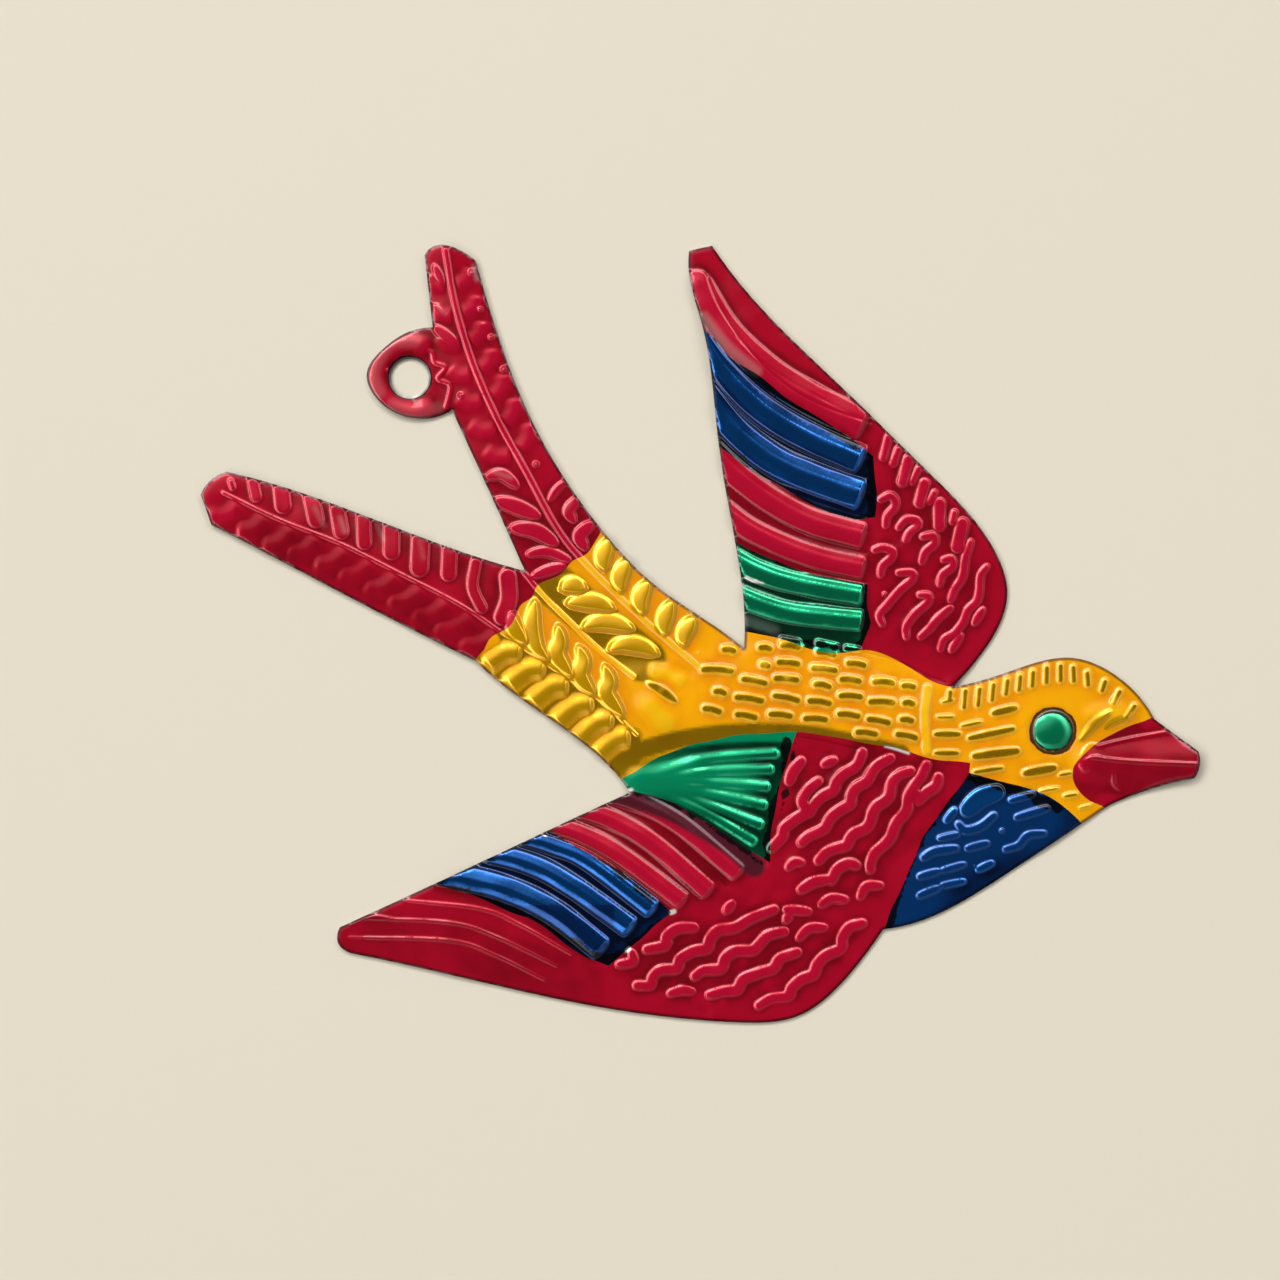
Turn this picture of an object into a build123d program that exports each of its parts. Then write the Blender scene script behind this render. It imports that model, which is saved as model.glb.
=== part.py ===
import os
from math import atan2, cos, degrees, radians, sin

from build123d import *

os.makedirs("parts", exist_ok=True)

# A swallow in embossed, lacquered tinplate, lying on its back face with its worked side up.
# X runs from the tail tip to the beak, Y runs up the far wing, Z points out of the worked side.
# The pattern's points are millimetres from its middle, drawn at the pattern length.

# Driving dimensions, in millimetres and degrees
ornament_length = 99.7
pattern_length = 99.7
sheet_thickness = 0.3
lacquer_thickness = 0.06
crest_width = 0.2

hole_diameter = 3.8
hole_bare_rim = 0.2
eye_diameter = 4.0
eye_height = 0.9

wing_rib_height = 0.8
tip_rib_height = 0.55
fan_rib_width = 1.05
fan_rib_height = 0.5

spine_width = 0.8
spine_height = 0.55
barb_width = 1.35
barb_height = 0.5
barb_pitch = 2.7
barb_bow = 0.35
barb_lean = 44
barb_first = 3.0
barb_root = 0.75

dash_width = 0.85
dash_height = 0.4
dash_length = 2.3
dash_bow = 0.1
back_dash_turn = -4
throat_dash_turn = 8
breast_dash_turn = 16
row_pitch = 1.75
row_slant = -0.3
tick_length = 2.0
tick_width = 0.7
tick_pitch = 1.35
tick_turn = 80
scallop_width = 1.0
scallop_height = 0.42
scallop_bow = 0.45
scallop_share = 0.9
crescent_bow = 0.55

beak_ridge_width = 1.5
beak_ridge_height = 0.6

scale = ornament_length / pattern_length
tallest_mark = max(eye_height, wing_rib_height, tip_rib_height, fan_rib_height, spine_height,
                   barb_height, dash_height, scallop_height, beak_ridge_height)
column_height = sheet_thickness + tallest_mark + lacquer_thickness + 1


# Pattern points moved to the ornament's size
def at(*points):
    return [Vector(x * scale, y * scale) for x, y in points]


# Flat region between a drawn curve and straight lines that close it outside the sheet or field
def region(curve, closing):
    with BuildSketch() as area:
        with BuildLine():
            drawn = Spline(*at(*curve))
            Polyline(drawn @ 1, *at(*closing), drawn @ 0)
        make_face()
    return area.sketch


# Round-ended stroke whose ends reach start and end, its middle line bowed to the left
def stroke(start, end, bow, width):
    along = (end - start).normalized()
    left = Vector(-along.Y, along.X)
    cap = along * (width / 2)
    middle = (start + end) * 0.5 + left * bow
    with BuildSketch() as mark:
        SlotArc(ThreePointArc(start + cap, middle, end - cap, mode=Mode.PRIVATE), width)
    return mark.sketch


# Stroke about its middle point, turned from the X axis
def dash(middle, length, turn, width):
    reach = Vector(cos(radians(turn)), sin(radians(turn))) * (length / 2)
    return stroke(middle - reach, middle + reach, dash_bow, width)


# Round-ended band along an arc through three points
def band(points, width):
    with BuildSketch() as mark:
        SlotArc(ThreePointArc(*at(*points), mode=Mode.PRIVATE), width)
    return mark.sketch


# Round-ended straight band
def bar(start, end, width):
    with BuildSketch() as mark:
        SlotArc(Line(*at(start, end), mode=Mode.PRIVATE), width)
    return mark.sketch


# Raises marks of one width to a narrow crest
def raise_marks(marks, width, height):
    slope = degrees(atan2((width - crest_width) / 2, height))
    extrude([mark.face() for mark in marks], amount=height, taper=slope, clean=False)


# Raises one rib along an arc through three points
def raise_rib(points, width, height):
    raise_marks([band(points, width)], width, height)


# Sheet outline: each stretch runs from one corner of the cut to the next
with BuildSketch() as outline:
    with BuildLine():
        tail_end = Line(*at((-48.8, 10.9), (-49.85, 13.9)))
        tail_tip = ThreePointArc(tail_end @ 1, *at((-48.9, 15.3), (-47.3, 16.2)))
        Spline(tail_tip @ 1, *at((-39.2, 13.9), (-26.3, 9.1), (-17.5, 6.3)))
        fork_side = Spline(*at((-17.5, 6.3), (-20.0, 11.9), (-23.6, 19.8), (-24.8, 22.4)))
        tab = Spline(fork_side @ 1, *at((-28.2, 21.5), (-31.9, 23.1), (-33.3, 26.0),
                                        (-31.5, 28.6), (-29.1, 30.2), (-26.7, 30.6)))
        tab_top = Line(tab @ 1, *at((-27.5, 37.8)))
        feather_tip = Spline(tab_top @ 1, *at((-26.5, 38.75), (-24.9, 38.7), (-22.4, 37.25)))
        rump = Spline(feather_tip @ 1, *at((-20.6, 31.1), (-16.2, 20.1), (-10.2, 10.9),
                                           (-4.5, 4.9), (1.6, 0.7), (4.4, -1.4)))
        trailing = Spline(rump @ 1, *at((4.4, 2.6), (3.5, 9.2), (1.8, 19.4), (0.2, 30.8),
                                        (-1.15, 36.5), (-1.1, 38.3)))
        wing_tip = Line(trailing @ 1, *at((1.2, 38.8)))
        leading = Spline(wing_tip @ 1, *at((5.0, 33.8), (14.0, 24.8), (23.0, 16.0), (29.3, 8.6),
                                           (30.7, 4.2), (28.4, -1.6), (25.3, -5.2)))
        crown = Spline(leading @ 1, *at((31.6, -3.5), (37.3, -2.4), (41.9, -4.4), (45.4, -8.5)))
        beak_top = Line(crown @ 1, *at((49.7, -11.7)))
        beak_end = ThreePointArc(beak_top @ 1, *at((49.85, -12.7), (49.3, -14.4)))
        jaw = Spline(beak_end @ 1, *at((46.3, -15.1), (41.0, -17.05)))
        breast_edge = Spline(jaw @ 1, *at((36.7, -19.9), (29.8, -24.5), (20.6, -29.1), (18.3, -29.5)))
        near_edge = Spline(breast_edge @ 1, *at((14.5, -34.5), (9.7, -38.2), (3.5, -38.8), (-12.1, -36.9),
                                                (-26.2, -33.75), (-34.9, -31.9)))
        near_tip = Spline(near_edge @ 1, *at((-36.2, -30.8), (-36.0, -29.3)))
        near_trailing = Spline(near_tip @ 1, *at((-28.8, -26.0), (-15.8, -19.9), (-7.0, -15.8)))
        belly = Spline(near_trailing @ 1, *at((-9.3, -13.0), (-14.7, -8.7), (-22.4, -2.7)))
        Spline(belly @ 1, *at((-29.1, 0.6), (-40.0, 6.3), (-48.8, 10.9)))
    make_face()
    hole_middle, = at((-29.0, 25.6))
    with Locations(hole_middle):
        Circle(hole_diameter / 2, mode=Mode.SUBTRACT)

# The lacquer stops short of the hole and leaves a bare rim
with BuildSketch() as hole_rim:
    with Locations(hole_middle):
        Circle(hole_diameter / 2 + hole_bare_rim)

# Brushed fields, drawn over the edge of the sheet and trimmed to it below
lower_tail = region(
    [(-23.2, -3.6), (-21.4, -1.3), (-19.0, 1.3), (-15.9, 4.1)],
    [(-17.5, 6.3), (-22, 11.5), (-40, 25), (-52, 25), (-52, 5), (-30, -8)])
upper_tail = region(
    [(-15.9, 4.1), (-13.4, 6.5), (-11.2, 8.3), (-9.6, 12.1)],
    [(-9, 20), (-18, 42), (-36, 42), (-36, 18), (-22, 11.5), (-17.5, 6.3)])
far_wing = region(
    [(3.6, 0.3), (8.6, -0.7), (14.4, -1.9), (17.0, -1.6), (21.8, -4.0), (25.6, -5.3)],
    [(30, -2.6), (40, 2), (40, 42), (-5, 42), (-5, 20), (0, 8)])
far_blue = region(
    [(-1.0, 32.2), (4.1, 26.9), (11.0, 22.1), (17.3, 17.8)],
    [(17.6, 13.4), (17.4, 11.6), (15.5, 11.4), (12.8, 12.1), (6.5, 15.5), (0.6, 19.6), (-3, 25)])
far_green = region(
    [(2.4, 9.9), (8.0, 7.1), (16.7, 5.0)],
    [(16.7, 2.9), (17.0, 1.1), (15.6, -3.0), (3.0, -2.5), (0, 3)])
near_wing = region(
    [(-8.6, -15.1), (-4.9, -12.7), (3.1, -10.2), (13.8, -10.3), (21.0, -11.85), (27.0, -13.0)],
    [(26.9, -14.0), (25.2, -16.2), (22.0, -20.8), (19.9, -25.8), (18.1, -30.2), (19, -45), (-45, -45),
     (-45, -20), (-12, -15.4)])
near_green = region(
    [(9.8, -9.0), (8.8, -12.3), (7.5, -17.8), (6.9, -22.9)],
    [(2.7, -20.1), (-2.5, -16.9), (-6.9, -15.6), (-9.5, -16.4), (-9.5, -11)])
near_blue = region(
    [(-16.4, -18.8), (-14.3, -20.1), (-8.4, -23.4), (-2.9, -27.8)],
    [(-9.2, -33.2), (-11.4, -32.3), (-17.3, -28.2), (-23.2, -26.0), (-27.5, -24.6), (-20, -17)])
breast = region(
    [(25.8, -13.8), (30.7, -14.8), (35.5, -16.7), (38.8, -19.9)],
    [(38, -36), (15, -36), (15, -24)])
beak = region(
    [(46.2, -8.0), (41.2, -10.0), (37.5, -12.9), (41.7, -17.9)],
    [(52, -18), (52, -6)])
eye_middle, = at((35.2, -9.7))
with BuildSketch() as eye:
    with Locations(eye_middle):
        Circle(eye_diameter / 2)


# The part of the sheet that lies in every one of the fields and in none of the others
def trimmed(fields, others=()):
    with BuildSketch() as area:
        add(outline.sketch)
        for field in fields:
            add(field, mode=Mode.INTERSECT)
        for other in others:
            add(other, mode=Mode.SUBTRACT)
    return area.sketch


# One tail feather: a spine with curved barbs on both sides, leaning to the tip.
# Reaches are barb lengths on the left and right of the spine, near its tip and near its base.
def feather(spine_points, left_reach, right_reach):
    spine = ThreePointArc(*at(*spine_points), mode=Mode.PRIVATE)
    barbs = []
    for row in range(int((spine.length - barb_first) / barb_pitch)):
        share = (barb_first + row * barb_pitch) / spine.length
        root, base = spine @ share, spine % share
        for side, reach in ((1, left_reach), (-1, right_reach)):
            out = base.rotate(Axis.Z, side * (90 + barb_lean))
            length = reach[0] + (reach[1] - reach[0]) * share
            barbs.append(stroke(root + out * barb_root, root + out * (barb_root + length),
                                -side * barb_bow, barb_width))
    with BuildPart() as die:
        raise_rib(spine_points, spine_width, spine_height)
        raise_marks(barbs, barb_width, barb_height)
    return die.part


# Rows of scallops between drawn points, each row with its count
def scallop_rows(rows):
    marks = []
    for start, end, count in rows:
        first, last = at(start, end)
        step = (last - first) * (1 / count)
        for place in range(count):
            marks.append(stroke(first + step * place, first + step * (place + scallop_share),
                                scallop_bow, scallop_width))
    return marks


lower_feather = feather([(-47.2, 13.9), (-28.2, 5.2), (-5.2, -10.8)], (3.2, 4.6), (3.2, 4.6))
upper_feather = feather([(-25.4, 37.6), (-18.6, 17.9), (-0.4, -3.2)], (2.4, 4.6), (2.2, 4.6))

with BuildPart() as back_marks:
    columns = [(2.9, -1.9, 4), (6.5, -1.6, 5), (9.3, -1.7, 5), (12.5, -2.3, 5), (15.8, -4.1, 4),
               (18.6, -4.8, 4), (21.0, -5.6, 3)]
    dashes = []
    for x, y, count in columns:
        for row in range(count):
            place = at((x, y))[0] + Vector(row * row_slant, -row * row_pitch)
            dashes.append(dash(place, dash_length, back_dash_turn, dash_width))
    raise_marks(dashes, dash_width, dash_height)
    raise_marks([bar((22.7, -5.8), (22.9, -11.3), spine_width)], spine_width, dash_height)
    raise_marks([bar((-16.9, 5.4), (-6.9, -4.4), spine_width)], spine_width, dash_height)

with BuildPart() as head_marks:
    crest_line = Spline(*at((26.6, -6.5), (29.0, -5.9), (33.1, -4.8), (36.8, -4.1), (40.3, -5.3),
                            (42.9, -7.8)), mode=Mode.PRIVATE)
    ticks = []
    for row in range(int(crest_line.length / tick_pitch) + 1):
        share = row * tick_pitch / crest_line.length
        turn = degrees(atan2((crest_line % share).Y, (crest_line % share).X))
        ticks.append(dash(crest_line @ share, tick_length, turn + tick_turn, tick_width))
    raise_marks(ticks, tick_width, dash_height)
    throat = [(25.2, -8.6, 2.2), (25.2, -10.0, 2.4), (25.3, -11.3, 2.4), (28.4, -8.3, 2.8),
              (31.4, -8.0, 2.2), (29.2, -10.0, 3.8), (29.6, -11.8, 3.8), (28.9, -13.3, 2.4),
              (33.4, -13.2, 2.6), (32.1, -14.4, 1.8), (36.0, -13.8, 1.8), (34.6, -15.2, 2.2),
              (37.4, -15.5, 1.8), (38.2, -17.0, 1.8)]
    raise_marks([dash(at((x, y))[0], length, throat_dash_turn, dash_width) for x, y, length in throat],
                dash_width, dash_height)

with BuildPart() as breast_marks:
    plumage = [(26.4, -17.6, 2.6), (29.0, -16.6, 2.8), (32.4, -16.5, 2.6), (33.4, -18.2, 3.4),
               (27.6, -19.3, 3.6), (32.3, -20.4, 4.2), (28.0, -21.3, 2.8), (24.4, -21.6, 3.6),
               (24.0, -23.8, 4.0), (28.4, -23.3, 2.4), (23.6, -25.7, 4.0)]
    raise_marks([dash(at((x, y))[0], length, breast_dash_turn, dash_width) for x, y, length in plumage],
                dash_width, dash_height)

with BuildPart() as far_red_marks:
    raise_rib([(0.0, 33.8), (6.3, 26.4), (15.2, 20.9)], 1.4, tip_rib_height)
    raise_rib([(0.8, 18.7), (7.5, 13.1), (15.2, 10.0)], 2.4, wing_rib_height)
    raise_rib([(1.4, 12.9), (8.2, 8.9), (15.2, 6.8)], 2.2, wing_rib_height)
    crescents = [((18.8, 14.0), (18.5, 10.6)), ((20.5, 11.7), (20.3, 9.1)), ((22.2, 9.8), (22.0, 6.8)),
                 ((24.3, 7.7), (23.8, 4.5)), ((18.2, 8.9), (18.2, 5.6)), ((20.5, 6.3), (18.5, 2.0)),
                 ((22.6, 4.2), (20.8, 0.6)), ((18.6, 19.0), (18.2, 16.8)), ((20.0, 17.4), (19.7, 14.9)),
                 ((21.8, 15.0), (21.9, 12.6)), ((23.4, 13.2), (23.6, 10.6)), ((25.4, 11.4), (25.6, 8.6)),
                 ((27.2, 9.5), (26.6, 6.2)), ((26.3, 5.3), (25.0, 2.6)), ((28.7, 6.6), (27.6, 3.4)),
                 ((26.8, 2.4), (24.2, -0.4)), ((24.6, 1.8), (22.4, 0.0)), ((28.6, 2.2), (26.4, -0.8))]
    raise_marks([stroke(*at(start, end), crescent_bow, scallop_width) for start, end in crescents],
                scallop_width, scallop_height)

with BuildPart() as far_blue_marks:
    raise_rib([(-0.9, 31.4), (6.2, 22.5), (15.2, 17.7)], 3.0, wing_rib_height)
    raise_rib([(0.4, 23.6), (7.2, 17.4), (15.4, 14.1)], 2.6, wing_rib_height)

with BuildPart() as far_green_marks:
    raise_rib([(2.4, 7.6), (9.5, 5.1), (15.2, 4.0)], 1.9, wing_rib_height)
    raise_rib([(3.0, 3.9), (9.8, 2.0), (15.2, 1.5)], 2.1, wing_rib_height)

with BuildPart() as near_red_marks:
    raise_rib([(-35.2, -30.1), (-25.0, -30.5), (-16.0, -34.2)], 1.3, tip_rib_height)
    raise_rib([(-34.4, -28.4), (-25.0, -28.7), (-15.6, -32.5)], 1.3, tip_rib_height)
    raise_rib([(-29.6, -26.3), (-22.0, -27.3), (-13.8, -31.5)], 1.1, tip_rib_height)
    raise_rib([(-15.6, -18.6), (-7.5, -22.4), (-1.8, -26.6)], 1.9, wing_rib_height)
    raise_rib([(-12.6, -17.0), (-4.6, -21.0), (0.8, -25.6)], 1.9, wing_rib_height)
    raise_rib([(-9.6, -15.4), (-1.6, -19.3), (3.9, -23.8)], 2.1, wing_rib_height)
    rows = [((8.6, -14.0), (10.6, -12.4), 1), ((8.8, -16.4), (11.5, -14.3), 1),
            ((8.0, -19.0), (11.0, -16.8), 1), ((7.7, -21.4), (19.0, -12.4), 5),
            ((10.1, -21.4), (20.8, -13.5), 5), ((11.8, -22.9), (21.4, -15.7), 4),
            ((16.6, -23.4), (21.8, -17.0), 3), ((10.2, -25.2), (15.5, -22.9), 2),
            ((11.6, -27.2), (14.4, -26.1), 1), ((15.6, -26.2), (18.2, -24.6), 1),
            ((7.4, -33.0), (16.6, -28.7), 4), ((9.6, -30.4), (12.6, -28.9), 1),
            ((-4.6, -33.4), (7.2, -27.2), 5), ((-0.8, -33.9), (6.4, -30.0), 3),
            ((0.8, -35.9), (6.0, -33.3), 2), ((5.8, -37.0), (12.0, -34.1), 3),
            ((-7.2, -35.4), (-4.6, -34.8), 1), ((-3.0, -36.3), (-0.4, -35.6), 1)]
    raise_marks(scallop_rows(rows), scallop_width, scallop_height)

with BuildPart() as near_blue_marks:
    raise_rib([(-17.5, -19.6), (-11.1, -22.7), (-4.8, -27.3)], 1.6, wing_rib_height)
    raise_rib([(-20.6, -21.0), (-12.7, -25.0), (-7.0, -28.9)], 2.4, wing_rib_height)
    raise_rib([(-25.4, -23.4), (-14.8, -27.6), (-10.1, -31.2)], 2.6, wing_rib_height)

with BuildPart() as near_green_marks:
    rays = [((-0.6, -12.3), (7.2, -12.0)), ((1.2, -13.6), (7.0, -13.7)), ((1.2, -14.9), (6.6, -15.4)),
            ((0.8, -16.2), (6.2, -17.3)), ((0.4, -17.4), (5.8, -19.3))]
    raise_marks([bar(start, end, fan_rib_width) for start, end in rays], fan_rib_width, fan_rib_height)

with BuildPart() as beak_marks:
    raise_marks([bar((39.4, -12.4), (48.6, -12.9), beak_ridge_width)], beak_ridge_width, beak_ridge_height)

# The eye is a round dome, the cap of a ball that meets the sheet at the eye's rim
eye_ball_radius = ((eye_diameter / 2) ** 2 + eye_height ** 2) / (2 * eye_height)
with BuildPart() as eye_dome:
    with BuildSketch(Plane.XY):
        with Locations(eye_middle):
            Circle(eye_diameter / 2)
    extrude(amount=eye_height)
    with Locations((eye_middle.X, eye_middle.Y, eye_height - eye_ball_radius)):
        Sphere(eye_ball_radius, mode=Mode.INTERSECT)

tail_dies = [lower_feather, upper_feather, back_marks.part]
head_dies = [head_marks.part, beak_marks.part, eye_dome.part]
far_dies = [far_red_marks.part, far_blue_marks.part, far_green_marks.part]
near_dies = [near_red_marks.part, near_blue_marks.part, near_green_marks.part, breast_marks.part]
marks = [mark for die in tail_dies + head_dies + far_dies + near_dies for mark in die.solids()]

# The tin: every mark stands up on the worked side and is hollow on the back
with BuildPart() as tin_sheet:
    with BuildSketch():
        add(outline.sketch)
    extrude(amount=sheet_thickness)
    add([mark.moved(Location((0, 0, sheet_thickness))) for mark in marks])
    add(marks, mode=Mode.SUBTRACT)
    with BuildSketch():
        add(outline.sketch)
    extrude(amount=column_height, mode=Mode.INTERSECT)
tin_sheet.part.label = "tin_sheet"
export_step(tin_sheet.part, "parts/tin_sheet.step")


# Whether two boxes overlap in plan
def boxes_meet(one, two):
    return (one.min.X < two.max.X and two.min.X < one.max.X
            and one.min.Y < two.max.Y and two.min.Y < one.max.Y)


# The marks that stand in a field, wholly or in part
def marks_in(field, dies):
    area = field.bounding_box()
    found = []
    for mark in [mark for die in dies for mark in die.solids()]:
        if boxes_meet(area, mark.bounding_box()):
            foot = mark.faces().sort_by(Axis.Z)[0]
            if foot.distance_to(field) < lacquer_thickness:
                found.append(mark)
    return found


# A coat of lacquer that follows the marks under it
def lacquer(name, field, dies):
    under = marks_in(field, dies)
    with BuildPart() as coat:
        with BuildSketch(Plane.XY.offset(sheet_thickness)):
            add(field)
        extrude(amount=lacquer_thickness)
        add([mark.moved(Location((0, 0, sheet_thickness + lacquer_thickness))) for mark in under])
        add([mark.moved(Location((0, 0, sheet_thickness))) for mark in under], mode=Mode.SUBTRACT)
        with BuildSketch():
            add(field)
        extrude(amount=column_height, mode=Mode.INTERSECT)
    coat.part.label = name
    export_step(coat.part, f"parts/{name}.step")


lacquer("lower_tail_lacquer", trimmed([lower_tail]), tail_dies)
lacquer("upper_tail_lacquer", trimmed([upper_tail], [hole_rim.sketch]), tail_dies)
lacquer("body_lacquer", trimmed([], [lower_tail, upper_tail, far_wing, near_wing, breast, beak, eye.sketch]),
        tail_dies + head_dies)
lacquer("far_wing_red_lacquer", trimmed([far_wing], [far_blue, far_green]), far_dies)
lacquer("far_wing_blue_lacquer", trimmed([far_blue]), far_dies)
lacquer("far_wing_green_lacquer", trimmed([far_wing, far_green]), far_dies)
lacquer("near_wing_red_lacquer", trimmed([near_wing], [near_blue, near_green]), near_dies)
lacquer("near_wing_blue_lacquer", trimmed([near_blue]), near_dies)
lacquer("near_wing_green_lacquer", trimmed([near_wing, near_green]), near_dies)
lacquer("breast_lacquer", trimmed([breast], [near_wing]), near_dies)
lacquer("beak_lacquer", trimmed([beak]), head_dies)
lacquer("eye_lacquer", eye.sketch, [eye_dome.part])
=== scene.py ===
import math

import bpy
import numpy as np
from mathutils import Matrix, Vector
from mathutils.geometry import delaunay_2d_cdt
from mathutils.kdtree import KDTree


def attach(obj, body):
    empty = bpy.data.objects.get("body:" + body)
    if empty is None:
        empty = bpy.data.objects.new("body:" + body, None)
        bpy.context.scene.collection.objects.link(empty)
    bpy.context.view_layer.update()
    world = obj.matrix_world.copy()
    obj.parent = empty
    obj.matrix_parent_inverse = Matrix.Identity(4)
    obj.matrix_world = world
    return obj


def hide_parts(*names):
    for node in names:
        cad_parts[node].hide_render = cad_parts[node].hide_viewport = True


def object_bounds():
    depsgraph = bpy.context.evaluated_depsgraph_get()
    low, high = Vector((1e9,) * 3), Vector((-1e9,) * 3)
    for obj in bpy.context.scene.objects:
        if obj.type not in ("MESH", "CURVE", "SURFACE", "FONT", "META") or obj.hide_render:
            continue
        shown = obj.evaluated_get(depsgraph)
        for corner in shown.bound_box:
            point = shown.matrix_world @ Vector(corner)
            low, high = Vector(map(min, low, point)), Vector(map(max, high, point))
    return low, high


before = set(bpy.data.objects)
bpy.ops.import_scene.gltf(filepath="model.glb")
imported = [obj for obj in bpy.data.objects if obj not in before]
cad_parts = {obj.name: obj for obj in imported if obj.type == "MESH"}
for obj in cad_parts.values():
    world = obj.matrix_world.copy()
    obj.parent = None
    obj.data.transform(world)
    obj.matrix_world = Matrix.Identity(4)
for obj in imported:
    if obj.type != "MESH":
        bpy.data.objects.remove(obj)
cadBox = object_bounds()
mm = 0.001
handDraws = np.random.default_rng(11)  # the small unevenness of hand work, the same on every run
print("frame loaded")


# sRGB hex to the linear colour that the shaders take
def linearColour(hexText):
    channels = [int(hexText[i:i + 2], 16) / 255 for i in (1, 3, 5)]
    return tuple(c / 12.92 if c <= 0.04045 else ((c + 0.055) / 1.055) ** 2.4 for c in channels) + (1.0,)


# One node with its settings, and its inputs linked or set
def addNode(tree, kind, inputs=None, **settings):
    node = tree.nodes.new(kind)
    for key, value in settings.items():
        setattr(node, key, value)
    for socket, value in (inputs or {}).items():
        if isinstance(value, bpy.types.NodeSocket):
            tree.links.new(value, node.inputs[socket])
        else:
            node.inputs[socket].default_value = value
    return node


# The sheet: tool marks are worked out as heights on a fine grid over the whole bird, all in millimetres
sheet = {
    "thickness": 0.3,               # tinplate
    "film": 0.06,                   # lacquer
    "cell": 0.05,                   # grid of the tooling
    "margin": 1.5,                  # grid beyond the bird
    "softening": 0.06,              # how far the tin rounds off a tool mark
    "formSoftening": 0.3,           # and a broad swelling
    "tightSoftening": 0.35,         # relief finer than this gets the close mesh
    "hollowSoftening": 0.6,         # and hollows of about this size get the gathered coat's darker colour, partly painted shade
    "wobble": 0.02,                 # height of the waves left by hand work
    "wobbleWaves": (40, 2.5, 9.0),  # how many, the shortest and the longest
    "crinkle": 0.02,                # and the short ones among close marks
    "crinkleWaves": (60, 1.2, 3.0),
    "bends": (0.012, 0.006),        # bending that asks for the close and for the middling mesh
    "chipBend": 0.05,               # weight of a chip's edge in it
    "fineStep": 0.11,               # mesh on the slopes of the marks
    "borderStep": 0.14,             # along the border of a coat
    "borderGap": 0.08,              # and the least distance of other points from it
    "rimDrop": 0.1,                 # rolled-over cut edge
    "rimWidth": 0.28,
    "rimStep": 0.15,
    "tinStep": 0.3,                 # mesh of the tin under the films
    "tinBorderStep": 0.2,
    "tinBorderGap": 0.15,
    "tinGap": 0.1,                  # hidden gap that keeps the coarser tin under the films
    "sharpFrom": 60,                # degrees
}
lowCorner, highCorner = [np.array(corner) / mm for corner in cadBox]
cellX = np.arange(lowCorner[0] - sheet["margin"], highCorner[0] + sheet["margin"], sheet["cell"])
cellY = np.arange(lowCorner[1] - sheet["margin"], highCorner[1] + sheet["margin"], sheet["cell"])
broadForm = np.zeros((len(cellY), len(cellX)))
raisedMarks = np.zeros_like(broadForm)
sunkLines = np.zeros_like(broadForm)
# chips down to tin, and faint pale patches of painted highlight
bareTinAndSheen = np.zeros_like(broadForm)
toolTopsAndSheen = np.zeros_like(broadForm)    # burnished by the tool, and a painted highlight on the fan's left part
troughs = np.zeros_like(broadForm)     # smooth hollows between feathers
crinkled = np.zeros_like(broadForm)    # ground pushed uneven by many marks
darkRedBand = np.zeros_like(broadForm)     # a darker, duller band on the red
brightSide = (-0.6, 0.8)               # towards the brighter side of the light

# How the tools and the hand shape a mark
tooling = {
    "reach": 0.1,                 # grid worked beyond a mark's edge
    "polish": (0.7, 0.2),         # share of the slope left dull, and the fade from there
    "crownShares": (0.68, 0.32),  # dome and flanks of a broad rib
    "leafTip": 0.35,              # width of a leaf at its ends, as a share
    "leafDrop": 0.7,              # width of the slope at its edge
    "leafPolish": (0.75, 0.3),    # amount, and the fade from its edge
    "shingle": (0.4, 1.17),       # how round a leaf's face is, and the height that this gives
    "bubble": (0.35, 0.45),       # height and slope, as shares of its size
    "stations": 7,                # along a crease between ribs
    "barbSlip": 0.08,             # the hand's unevenness: along the spine, in degrees, in length
    "barbTurn": 2.0,
    "barbReach": 0.05,
    "dashTurn": 3.0,
    "dashBow": 0.08,
}


def easeStep(share):
    share = np.clip(share, 0, 1)
    return share * share * (3 - 2 * share)


# A drawn line through its points, as close points along a smooth curve
def smoothLine(points, step=0.25):
    knots = np.array(points, float)
    if len(knots) == 2:
        count = max(2, int(np.linalg.norm(knots[1] - knots[0]) / step) + 1)
        return knots[0] + (knots[1] - knots[0]) * np.linspace(0, 1, count)[:, None]
    padded = np.vstack([2 * knots[0] - knots[1], knots, 2 * knots[-1] - knots[-2]])
    line = []
    for before, start, end, after in zip(padded, padded[1:], padded[2:], padded[3:]):
        t = np.linspace(0, 1, max(2, int(np.linalg.norm(end - start) / step) + 1))[:-1, None]
        line.append(0.5 * (2 * start + (end - before) * t
                           + (2 * before - 5 * start + 4 * end - after) * t ** 2
                           + (3 * start - before - 3 * end + after) * t ** 3))
    return np.vstack(line + [knots[-1:]])


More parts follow.
